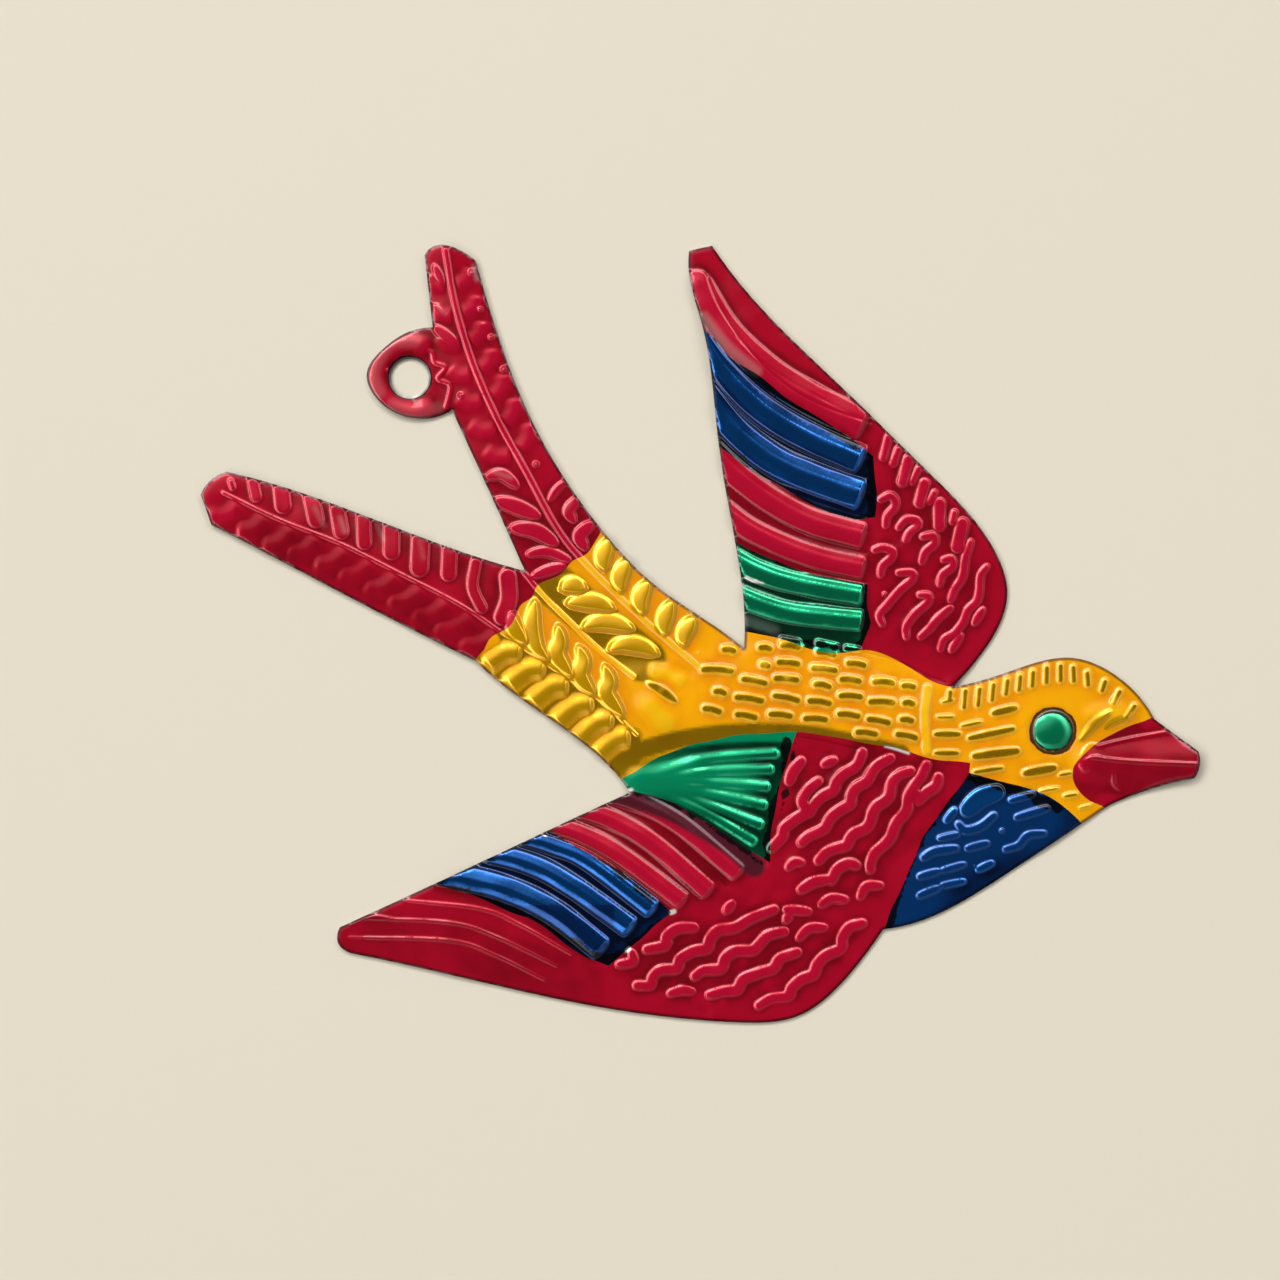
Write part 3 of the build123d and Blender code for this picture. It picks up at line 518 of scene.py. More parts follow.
wingNear = {
    "redNode": "near_wing_red_lacquer", "blueNode": "near_wing_blue_lacquer",
    "greenNode": "near_wing_green_lacquer",
    "tipLines": [[(-35.0, -30.3), (-25.0, -30.6), (-20.6, -32.0), (-15.4, -34.6)],
        [(-33.6, -28.4), (-25.0, -28.8), (-20.4, -30.2), (-14.2, -33.2)], [(-29.4, -26.6), (-22.0, -27.4),
        (-18.0, -29.0), (-12.8, -32.0)], [(-34.8, -29.0), (-32.6, -28.2), (-30.0, -28.6)]],
    "ribs": [([(-26.2, -23.8), (-20.0, -25.2), (-14.8, -27.6), (-9.4, -31.8)], 2.9, 0.5),
        ([(-21.6, -21.6), (-17.0, -22.9), (-12.7, -25.2), (-6.6, -29.6)], 2.6, 0.47),
        ([(-18.4, -20.0), (-14.6, -21.1), (-11.1, -22.7), (-4.4, -27.8)], 2.3, 0.43),
        ([(-15.8, -18.7), (-11.4, -20.2), (-7.5, -22.4), (-1.4, -27.0)], 2.4, 0.35),
        ([(-12.8, -17.1), (-8.4, -18.7), (-4.6, -21.0), (1.2, -26.0)], 2.4, 0.35),
        ([(-9.8, -15.6), (-5.4, -17.1), (-1.6, -19.3), (4.2, -24.2)], 2.4, 0.35)],
    "flank": 0.42, "ribFades": (0.0, 0.05), "ribScore": (0.2, 0.35, 0.2, 0.03), "ribCrease": (0.28, 0.06),
    "fanRays": [[(-6.0, -14.4), (0.0, -12.6), (8.2, -11.9)], [(-3.8, -14.2), (1.6, -13.7), (7.6, -13.5)],
        [(-3.4, -14.6), (1.8, -14.9), (7.2, -15.3)], [(-3.2, -15.0), (1.4, -16.0), (6.9, -17.2)],
        [(-3.4, -15.3), (1.0, -17.1), (6.5, -19.2)], [(-5.4, -15.4), (0.0, -17.5), (5.8, -21.0)]],
    "ribbons": [[(10.1, -12.7), (9.3, -13.7), (8.9, -14.7)], [(11.8, -14.7), (10.8, -15.6), (10.2, -16.7),
        (10.6, -17.7), (9.5, -18.5), (8.4, -19.4), (8.2, -20.2), (7.1, -21.4)],
        [(16.2, -11.8), (15.8, -12.9), (15.3, -13.4), (14.3, -14.0), (13.6, -14.8), (13.3, -15.6),
        (12.2, -16.2), (11.4, -17.0), (10.9, -17.9)], [(19.0, -12.4), (17.9, -13.0), (17.2, -13.7),
        (16.6, -14.7), (15.6, -15.3), (15.1, -16.1), (15.0, -16.9), (14.4, -17.3), (13.5, -17.9),
        (12.9, -18.5), (12.5, -19.3), (11.9, -19.7), (10.8, -20.2), (10.1, -20.8)],
        [(21.0, -13.7), (20.0, -14.0), (19.2, -14.7), (19.0, -15.5), (18.9, -16.1), (18.4, -16.7),
        (17.6, -17.2), (17.2, -17.9), (17.0, -18.7), (16.5, -19.4), (15.4, -19.9), (14.9, -20.5),
        (14.6, -21.1), (13.6, -21.4), (12.6, -21.8), (11.8, -22.6)], [(22.6, -13.1), (22.1, -14.2),
        (21.3, -15.3), (20.8, -16.2), (20.7, -17.2), (20.4, -17.9), (19.7, -18.7), (19.3, -19.5),
        (19.0, -20.3), (18.3, -21.1), (17.4, -21.9), (17.0, -22.9), (17.0, -23.5)],
        [(23.8, -14.3), (23.5, -15.2), (22.5, -15.9), (21.9, -16.6)], [(10.1, -25.5), (11.3, -24.8),
        (12.7, -24.5)], [(13.1, -24.6), (13.7, -23.5), (14.8, -22.9), (15.6, -23.1)],
        [(7.4, -27.5), (5.1, -28.4), (3.5, -29.3), (1.8, -29.6), (1.0, -30.5), (0.7, -31.4), (-0.7, -31.7),
        (-2.0, -32.5), (-2.3, -33.4), (-4.0, -33.6), (-4.8, -34.4), (-4.9, -35.1), (-6.3, -35.1)],
        [(-0.6, -29.3), (-2.2, -29.4), (-3.3, -30.2), (-3.5, -31.1), (-5.3, -31.5)],
        [(8.4, -29.7), (6.8, -30.1), (5.9, -31.0), (5.2, -31.6), (3.5, -31.7), (2.5, -32.4), (2.1, -33.4),
        (0.4, -33.6), (-0.5, -34.2)], [(9.7, -31.8), (8.0, -32.4), (7.3, -33.4), (5.8, -33.9),
        (4.3, -34.5), (3.7, -35.5), (2.4, -35.7), (0.9, -36.1)], [(16.2, -28.9), (14.9, -29.3),
        (14.2, -30.4), (14.1, -31.4), (12.6, -32.1), (11.7, -33.0), (11.3, -34.0), (10.1, -34.5),
        (9.1, -35.4), (8.8, -36.2), (7.2, -36.4), (5.9, -37.1)]],
    "petals": [[(12.4, -13.0), (13.4, -12.6)], [(8.8, -23.3), (9.4, -22.8), (10.1, -22.8)],
        [(16.0, -26.2), (16.6, -25.2), (18.0, -25.1)], [(12.1, -27.0), (13.1, -26.4), (14.5, -26.5)],
        [(8.6, -27.5), (10.8, -27.7)], [(-6.8, -31.8), (-6.7, -32.7), (-8.1, -33.0)],
        [(-3.0, -35.9), (-1.9, -35.6), (-0.8, -35.7)], [(9.9, -30.3), (10.9, -29.4), (12.4, -29.3)],
        [(21.6, -15.8), (21.7, -16.8)], [(8.6, -28.6), (8.9, -28.0)], [(3.2, -26.9), (2.6, -27.6)]],
    "edgeFold": ([(9.6, -10.2), (12.6, -10.7), (16.2, -11.6)], 0.2, 0.05),
    "tipMark": (0.5, 0.14, 0.22, 0.3), "rayRib": (1.75, 0.24, 0.5, 0.05),
    "ribbonMark": (1.45, 0.17, 0.34, 0.15), "petalMark": (1.3, 0.17, 0.34, 0.2),
    "crinkle": ([(20.0, -14.0), (14.0, -19.0), (9.0, -28.0), (0.0, -33.0)], 15.0, 3.0, 0.85),
    "crowns": [([(-24, -27), (-6, -25), (10, -22), (18, -18)], 22, 0.3), ([(-6.0, -14.3),
        (-1.0, -14.2)], 4.4, 0.45)],
    "fanSheen": ([(-6.4, -14.6), (-2.6, -14.4), (3.4, -14.6)], 8.0, 3.4),
    "redDarkBand": ([(-8.8, -15.8), (-3.0, -17.6), (2.6, -20.8), (5.4, -23.2)], 2.6, 0.5),
}
pressAlike(wingNear["tipLines"], *wingNear["tipMark"])
pressWingRibs(wingNear)
for points in wingNear["fanRays"]:
    pressRib(points, *wingNear["rayRib"])
pressAlike(wingNear["ribbons"], *wingNear["ribbonMark"])
pressAlike(wingNear["petals"], *wingNear["petalMark"])
scoreLine(*wingNear["edgeFold"])
paintStrip(crinkled, *wingNear["crinkle"])
for crown in wingNear["crowns"]:
    swell(*crown)
# painted highlight: the fan's left part, where the light falls, is made lighter and less mirror-like
paintStrip(toolTopsAndSheen, *wingNear["fanSheen"])
paintStrip(darkRedBand, *wingNear["redDarkBand"])
print("near wing drawn")

breast = {
    "node": "breast_lacquer",
    "marks": [([(29.6, -15.8), (28.0, -16.4), (26.7, -17.5)], 2.2), ([(25.8, -19.0), (26.5, -19.6),
        (28.0, -19.2), (29.3, -18.1)], 1.2), ([(23.9, -20.4), (25.7, -20.0)], 1.0),
        ([(22.3, -22.3), (23.4, -21.7), (25.5, -21.4)], 1.2), ([(26.7, -21.4), (28.6, -20.9)], 1.1),
        ([(21.9, -24.2), (23.7, -23.7)], 1.1), ([(24.2, -23.6), (26.3, -23.0)], 1.0),
        ([(27.8, -23.5), (29.1, -22.9)], 1.1), ([(21.9, -26.1), (23.7, -25.4)], 1.1),
        ([(24.2, -25.1), (26.3, -24.7)], 1.0), ([(31.0, -16.6), (33.2, -16.0)], 1.0),
        ([(31.6, -18.3), (34.6, -17.4)], 1.1), ([(30.5, -21.5), (31.8, -21.1), (32.7, -20.1),
        (34.3, -19.9)], 1.1), ([(24.6, -18.6), (25.4, -17.6)], 1.1)],
    "bubbles": [(27.4, -23.2, 0.4), (30.1, -19.6, 0.7)], "markShape": (0.17, 0.32, 0.15),
    "crown": ([(21, -24), (28, -19), (35, -18)], 11, 0.3),
    "polish": ([(20.4, -27.0), (24.0, -22.2), (28.0, -20.0), (32.6, -18.8)], 9.0, 2.5, 0.9),
}
pressMarks(breast["marks"], *breast["markShape"])
for spot in breast["bubbles"]:
    bubble(*spot)
swell(*breast["crown"])
paintStrip(toolTopsAndSheen, *breast["polish"])
print("breast drawn")

beak = {
    "node": "beak_lacquer", "mouth": ([(39.0, -12.3), (43.0, -12.7), (49.6, -13.0)], 0.6, 0.14, 0.24),
    "upperFacet": ([(39.6, -11.2), (42.6, -10.5), (46.6, -9.8)], 0.55, 0.12, 0.24),
    "wrinkles": [[(37.9, -12.2), (38.9, -11.0), (40.2, -11.3)], [(38.3, -12.6), (39.4, -12.2),
        (40.3, -12.4)], [(37.8, -13.0), (38.4, -13.6), (38.7, -13.4)], [(41.2, -13.8), (41.3, -14.9),
        (41.9, -15.6)]],
    "wrinkleMark": (0.55, 0.1, 0.22, 0.5), "crown": ([(38.6, -12.6), (49.4, -13.0)], 7.0, 0.7),
}
swell(*beak["crown"])
pressMark(*beak["mouth"])
pressMark(*beak["upperFacet"])
pressAlike(beak["wrinkles"], *beak["wrinkleMark"])
print("beak drawn")

eye = {
    "node": "eye_lacquer",
    "middle": (35.2, -9.7), "radius": 2.0, "height": 0.46, "moat": 0.12, "moatWidth": 0.22, "ring": 2.25,
    "polish": 0.5, "evenGround": 0.6,
}
gridX, gridY = np.meshgrid(cellX, cellY)
eyeAway = np.hypot(gridX - eye["middle"][0], gridY - eye["middle"][1])
ballRadius = (eye["radius"] ** 2 + eye["height"] ** 2) / (2 * eye["height"])
cap = np.sqrt(np.clip(ballRadius ** 2 - eyeAway ** 2, 0, None)) - (ballRadius - eye["height"])
raisedMarks[eyeAway < eye["ring"]] = 0
toolTopsAndSheen[eyeAway < eye["radius"]] = eye["polish"]
raisedMarks = np.maximum(raisedMarks, np.where(eyeAway < eye["radius"], cap, 0))
moat = np.exp(-((eyeAway - eye["ring"]) / eye["moatWidth"]) ** 2)
sunkLines = np.maximum(sunkLines, eye["moat"] * moat)
print("eye drawn")

# Where the coat has chipped down to bright tin, a greyish patch on the green, and faint pale patches that
# are painted highlights on the tab, the tail feathers and the far wing's red tip: line, width, how bare
chipsAndSheenSpots = [
    ([(-2.9, -27.8), (-2.6, -27.7)], 0.6, 1.0), ([(-7.3, -31.6), (-7.1, -31.4)], 0.55, 1.0),
    ([(-7.1, -15.6), (-6.8, -15.5)], 0.45, 1.0), ([(18.5, -11.2), (19.6, -11.5), (20.8, -11.9)], 0.4, 1.0),
    ([(4.6, 5.6), (5.2, 5.3), (5.6, 5.3)], 0.5, 0.9), ([(5.6, 5.2), (6.3, 5.1)], 0.35, 0.8),
    ([(-16.6, -19.4), (-15.4, -20.2)], 0.25, 1.0), ([(4.0, 1.6), (7.4, 0.4)], 1.7, 0.3),
    # painted highlights: faint pale patches on the tab, the tail feathers and the far wing's red tip
    ([(-32.2, 24.2), (-32.7, 26.4), (-31.0, 29.0), (-28.6, 29.4)], 2.2, 0.07),
    ([(-30.8, 22.8), (-28.6, 22.0), (-26.2, 22.6)], 1.8, 0.06), ([(-22.6, 36.6), (-22.3, 35.4)], 0.9, 0.3),
    ([(-26.3, 32.9), (-25.5, 31.9)], 0.8, 0.16), ([(-20.6, 16.2), (-18.9, 15.6)], 1.0, 0.16),
    ([(0.4, 31.6), (2.6, 28.8), (5.6, 26.2)], 1.7, 0.14), ([(-38.4, 12.6), (-37.6, 10.9)], 1.0, 0.13),
    ([(-35.9, 11.6), (-35.4, 10.2)], 1.0, 0.17), ([(-32.2, 10.8), (-31.6, 9.4)], 0.9, 0.13),
    ([(-28.0, 9.2), (-27.6, 7.6)], 0.9, 0.1), ([(-12.9, 13.2), (-13.6, 12.2)], 0.8, 0.16),
]
chipFade, faintFade = 0.15, 0.7
for points, width, amount in chipsAndSheenSpots:
    paintStrip(bareTinAndSheen, points, width, chipFade if amount > 0.5 else faintFade, amount)


# Blur by three running means, which is close to a bell curve
def softened(heights, sigma):
    reach = max(1, int(round(sigma / sheet["cell"])))
    for axis in (0, 1, 0, 1, 0, 1):
        padding = [(reach + 1, reach) if a == axis else (0, 0) for a in (0, 1)]
        total = np.cumsum(np.pad(heights, padding, mode="edge"), axis=axis)
        size = heights.shape[axis]
        ahead = np.take(total, np.arange(2 * reach + 1, 2 * reach + 1 + size), axis=axis)
        heights = (ahead - np.take(total, np.arange(size), axis=axis)) / (2 * reach + 1)
    return heights


# Waves over the whole sheet at random bearings, between a shortest and a longest, about 1 high in all
def handWaves(count, shortest, longest):
    waves = np.zeros_like(broadForm)
    for wave in range(count):
        length = handDraws.uniform(shortest, longest)
        bearing = handDraws.uniform(0, 2 * np.pi)
        phase = handDraws.uniform(0, 2 * np.pi)
        waves += np.sin((gridX * np.cos(bearing) + gridY * np.sin(bearing)) * 2 * np.pi / length + phase)
    return waves / math.sqrt(count / 2)


# Darker colour in strips: the beak, the near wing's tip and the lower edge of the tail
darkerStrips = {
    "strips": [([(42.2, -12.8), (49.0, -13.0)], 8.0),
               ([(-34.0, -30.5), (-24.0, -31.2), (-12.0, -35.0)], 7.0),
               ([(-44.0, 10.4), (-34.0, 5.6), (-22.0, -0.8)], 5.0)],
    "fade": 1.5, "amount": 0.03,
}
# No trough's polish is left on a mark this high, and plain ground has a little
groundPolish = {"markHeight": 0.12, "least": 0.1}

wobble = handWaves(*sheet["wobbleWaves"]) * sheet["wobble"]
crinkled[eyeAway < eye["ring"] + eye["evenGround"]] = 0
wobble += crinkled * handWaves(*sheet["crinkleWaves"]) * sheet["crinkle"]
relief = softened(broadForm, sheet["formSoftening"]) + softened(raisedMarks, sheet["softening"]) + wobble
relief -= softened(sunkLines, sheet["softening"])
relief = np.maximum(relief, 0)
tightRelief = relief - softened(relief, sheet["tightSoftening"])
pressed = relief - wobble
hollows = softened(pressed, sheet["hollowSoftening"]) - pressed
# how far a point lies below its surroundings: the coats are drawn lighter on crests and darker in hollows,
# partly gathered coat and partly painted light and shade
hollows[eyeAway < eye["ring"]] = 0.0
for points, width in darkerStrips["strips"]:
    paintStrip(hollows, points, width, darkerStrips["fade"], darkerStrips["amount"])
# tool burnish, the fan's painted highlight, and for red coats the darker red band
polishSheenBand = np.maximum(toolTopsAndSheen, troughs * (1 - easeStep(raisedMarks / groundPolish["markHeight"])))
polishSheenBand = np.maximum(polishSheenBand, groundPolish["least"] * (1 - crinkled))
print("relief worked out on", relief.shape[1], "by", relief.shape[0], "cells")


# A grid's value at plan points
def sampled(grid, points):
    column = np.clip((points[:, 0] - cellX[0]) / sheet["cell"], 0, len(cellX) - 2)
    row = np.clip((points[:, 1] - cellY[0]) / sheet["cell"], 0, len(cellY) - 2)
    c, r = column.astype(int), row.astype(int)
    u, v = column - c, row - r
    return (grid[r, c] * (1 - u) * (1 - v) + grid[r, c + 1] * u * (1 - v)
            + grid[r + 1, c] * (1 - u) * v + grid[r + 1, c + 1] * u * v)


# Plan outline of a CAD piece: the edges that only one of its upward faces has
def planLoops(node):
    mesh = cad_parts[node].data
    keys = [(round(v.co.x / mm, 4), round(v.co.y / mm, 4), round(v.co.z / mm, 4)) for v in mesh.vertices]
    uses = {}
    for face in mesh.polygons:
        if face.normal.z > 0.05:  # upward
            corners = [keys[i] for i in face.vertices]
            for a, b in zip(corners, corners[1:] + corners[:1]):
                if (b, a) in uses:
                    del uses[(b, a)]
                elif a != b:
                    uses[(a, b)] = True
    following = {}
    for a, b in uses:
        following.setdefault(a, []).append(b)
    loops = []
    while following:
        start = next(iter(following))
        loop, here = [], start
        while True:
            loop.append(here[:2])
            ahead = following[here].pop()
            if not following[here]:
                del following[here]
            if ahead == start or ahead not in following:
                break
            here = ahead
        drawn = np.array(loop)
        area = np.sum(np.cross(drawn, np.roll(drawn, -1, axis=0))) / 2
        if abs(area) > 1:  # the rest are slivers between facets
            loops.append(drawn if area > 0 else drawn[::-1])
    return loops


# The same outline with its points about one step apart
def spacedLoop(loop, step):
    kept = [loop[0]]
    least = 0.4 * step
    for point in loop[1:]:
        if np.linalg.norm(point - kept[-1]) > least:
            kept.append(point)
    if np.linalg.norm(kept[-1] - kept[0]) < least:
        kept.pop()
    spaced = []
    for a, b in zip(kept, kept[1:] + kept[:1]):
        count = max(1, int(round(np.linalg.norm(b - a) / step)))
        spaced += [a + (b - a) * i / count for i in range(count)]
    return np.array(spaced)


# Grid cells inside the loops
def insideOf(loops):
    mask = np.zeros(relief.shape, bool)
    for loop in loops:
        for (x0, y0), (x1, y1) in zip(loop, np.roll(loop, -1, axis=0)):
            low, high = sorted((y0, y1))
            rows = np.arange(*np.ceil((np.array((low, high)) - cellY[0]) / sheet["cell"]).astype(int))
            crossings = x0 + (cellY[rows] - y0) * (x1 - x0) / (y1 - y0) if len(rows) else []
            for row, crossing in zip(rows, crossings):
                mask[row, math.ceil((crossing - cellX[0]) / sheet["cell"]):] ^= True
    return mask


def pointsWithin(loops, points):
    return points[sampled(insideOf(loops).astype(float), points) > 0.5]


# Points in even triangles over the whole grid, with each one's place along the slanting rows and its row
def triangleGrid(step):
    rowShare = 0.866
    rows, columns = np.mgrid[0:int((cellY[-1] - cellY[0]) / (step * rowShare)),
                             0:int((cellX[-1] - cellX[0]) / step)]
    across = cellX[0] + (columns + (rows % 2) / 2) * step
    points = np.stack([across, cellY[0] + rows * step * rowShare], -1).reshape(-1, 2)
    return points, (columns - rows // 2).ravel(), rows.ravel()


# How sharply a grid bends over a few cells either side
def bending(grid, cells=3):
    across = np.abs(np.roll(grid, cells, 1) + np.roll(grid, -cells, 1) - 2 * grid)
    return across + np.abs(np.roll(grid, cells, 0) + np.roll(grid, -cells, 0) - 2 * grid)


# Close points on the slopes of tight marks, wider ones on ribs and flats
def meshPoints():
    points, slant, row = triangleGrid(sheet["fineStep"])
    tight = sampled(bending(tightRelief) + sheet["chipBend"] * bending(bareTinAndSheen), points)
    loose = sampled(bending(relief), points)
    close, middling = sheet["bends"]
    everySecond = (slant % 2 == 0) & (row % 2 == 0)
    everyThird = (slant % 3 == 0) & (row % 3 == 0)
    return points[(tight > close) | ((loose > middling) & everySecond) | everyThird]


# A tree that finds the nearest of some plan points
def pointTree(points):
    tree = KDTree(len(points))
    for index, (x, y) in enumerate(points):
        tree.insert((x, y, 0), index)
    tree.balance()
    return tree


def distanceToPoints(points, tree):
    return np.array([tree.find((x, y, 0))[2] for x, y in points])


# Distance to the edges of drawn lines that have a width
def distanceToLines(points, lines):
    away = np.full(len(points), 1e3)
    for line, width in lines:
        drawn = smoothLine(line, step=0.5)
        for start, end in zip(drawn, drawn[1:]):
            run = end - start
            t = np.clip((points - start) @ run / (run @ run), 0, 1)[:, None]
            away = np.minimum(away, np.linalg.norm(points - start - t * run, axis=1) - width / 2)
    return away


slopePoints = meshPoints()
cutEdges = planLoops("tin_sheet")
rimLoops = [spacedLoop(loop, sheet["rimStep"]) for loop in cutEdges]
rimTree = pointTree(np.vstack(rimLoops))
print("mesh points", len(slopePoints), "outline loops", len(rimLoops))


# A closed plate on plan loops, with its two faces at the given heights
def plate(name, loops, inner, heights, values):
    starts = np.cumsum([0] + [len(loop) for loop in loops])
    rings = [list(range(first, last)) for first, last in zip(starts, starts[1:])]
    flat = np.vstack(loops + [inner])
    made = delaunay_2d_cdt([Vector(p) for p in flat], [], rings, 1, 1e-6, True)  # 1 for inside the rings
    plan = np.array([tuple(p) for p in made[0]])
    triangles = np.array([face for face, inside in zip(made[2], made[5]) if len(inside) % 2])
    corner = plan[triangles]
    turn = np.cross(corner[:, 1] - corner[:, 0], corner[:, 2] - corner[:, 0])
    triangles[turn < 0] = triangles[turn < 0][:, ::-1]
    used = np.unique(triangles)
    renumber = np.full(len(plan), -1)
    renumber[used] = np.arange(len(used))
    plan, triangles = plan[used], renumber[triangles]
    pairs = np.vstack([triangles[:, [0, 1]], triangles[:, [1, 2]], triangles[:, [2, 0]]])
    known = set(map(tuple, pairs))
    rimEdges = [(a, b) for a, b in known if (b, a) not in known]
    top, under = heights(plan)
    count = len(plan)
    points = np.vstack([np.column_stack([plan, top]), np.column_stack([plan, under])]) * mm
    faces = triangles.tolist() + (triangles[:, ::-1] + count).tolist()
    faces += [(b, a, a + count, b + count) for a, b in rimEdges]
    mesh = bpy.data.meshes.new(name)
    mesh.from_pydata(points.tolist(), [], faces)
    mesh.polygons.foreach_set("use_smooth", [True] * len(faces))
    mesh.set_sharp_from_angle(angle=math.radians(sheet["sharpFrom"]))
    for key, numbers in values(plan).items():
        layer = mesh.attributes.new(key, "FLOAT", "POINT")
        layer.data.foreach_set("value", np.concatenate([numbers, numbers]).astype(np.float32))
    piece = bpy.data.objects.new(name, mesh)
    bpy.context.scene.collection.objects.link(piece)
    return piece


def rimDistance(plan):
    return distanceToPoints(plan, rimTree)


def faceHeight(plan):
    rolled = 1 - easeStep(rimDistance(plan) / sheet["rimWidth"])
    return sheet["thickness"] + sampled(relief, plan) - sheet["rimDrop"] * rolled


# The slight waver of a brush along the borders between coats, none on the cut edge or round the eye
brush = {
    "waver": 0.3,                 # how far a border strays
    "waves": 8, "lengths": (3, 8),
    "rimEase": (0.2, 1.2),        # still up to here, and free after so much more
    "eyeEase": 2,
    "tail": (-17.0, 3.0),         # where red meets gold, brushed most freely
    "tailEase": (11, 5),          # as far as this from it, and over the last part of that
    "least": 0.2,                 # share of the waver elsewhere
}
brushWaves = [(handDraws.uniform(*brush["lengths"]), *handDraws.uniform(0, 2 * np.pi, 3))
              for wave in range(brush["waves"])]


def brushedBorder(loop):
    waver = np.zeros_like(loop)
    for length, bearing, phaseX, phaseY in brushWaves:
        swing = (loop[:, 0] * math.cos(bearing) + loop[:, 1] * math.sin(bearing)) * 2 * np.pi / length
        waver += np.column_stack([np.sin(swing + phaseX), np.sin(swing + phaseY)])
    eyeGap = np.linalg.norm(loop - eye["middle"], axis=1) - eye["ring"]
    tailGap = np.linalg.norm(loop - brush["tail"], axis=1)
    still, ease = brush["rimEase"]
    free = easeStep((rimDistance(loop) - still) / ease) * easeStep(eyeGap / brush["eyeEase"])
    reach, ease = brush["tailEase"]
    free = free * (brush["least"] + (1 - brush["least"]) * easeStep((reach - tailGap) / ease))
    return loop + waver * free[:, None] * brush["waver"] / math.sqrt(len(brushWaves) / 2)


# One brushed coat as a film on the worked side
def lacquerPiece(name, node, slot, material, overlaps, steady=1.0):
    loops = [brushedBorder(spacedLoop(loop, sheet["borderStep"])) for loop in planLoops(node)]
    inner = pointsWithin(loops, slopePoints)
    inner = inner[distanceToPoints(inner, pointTree(np.vstack(loops))) > sheet["borderGap"]]

    def heights(plan):
        lower = faceHeight(plan)
        return lower + sheet["film"], lower

    def values(plan):
        return {
            "rim": rimDistance(plan),
            "hollow": sampled(hollows, plan),
            # red coats take the darker red band here in place of the burnish
            "polishSheenBand": sampled(darkRedBand if slot == "red_lacquer" else polishSheenBand, plan),
            "bareAndSheen": sampled(bareTinAndSheen, plan),
            "overlap": distanceToLines(plan, overlaps) * steady,
        }

    piece = plate(name, loops, inner, heights, values)
    piece.data.materials.append(material)
    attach(piece, "root")
    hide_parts(node)
    print(name, len(piece.data.vertices), "points", len(piece.data.polygons), "faces")


def newMaterial(name):
    material = bpy.data.materials.new(name)
    material.use_nodes = True
    return material, material.node_tree, material.node_tree.nodes["Principled BSDF"]


# bright tin, showing in chips and mixed in faintly as painted highlights
tinAndSheenColour = "#F2EEE6"


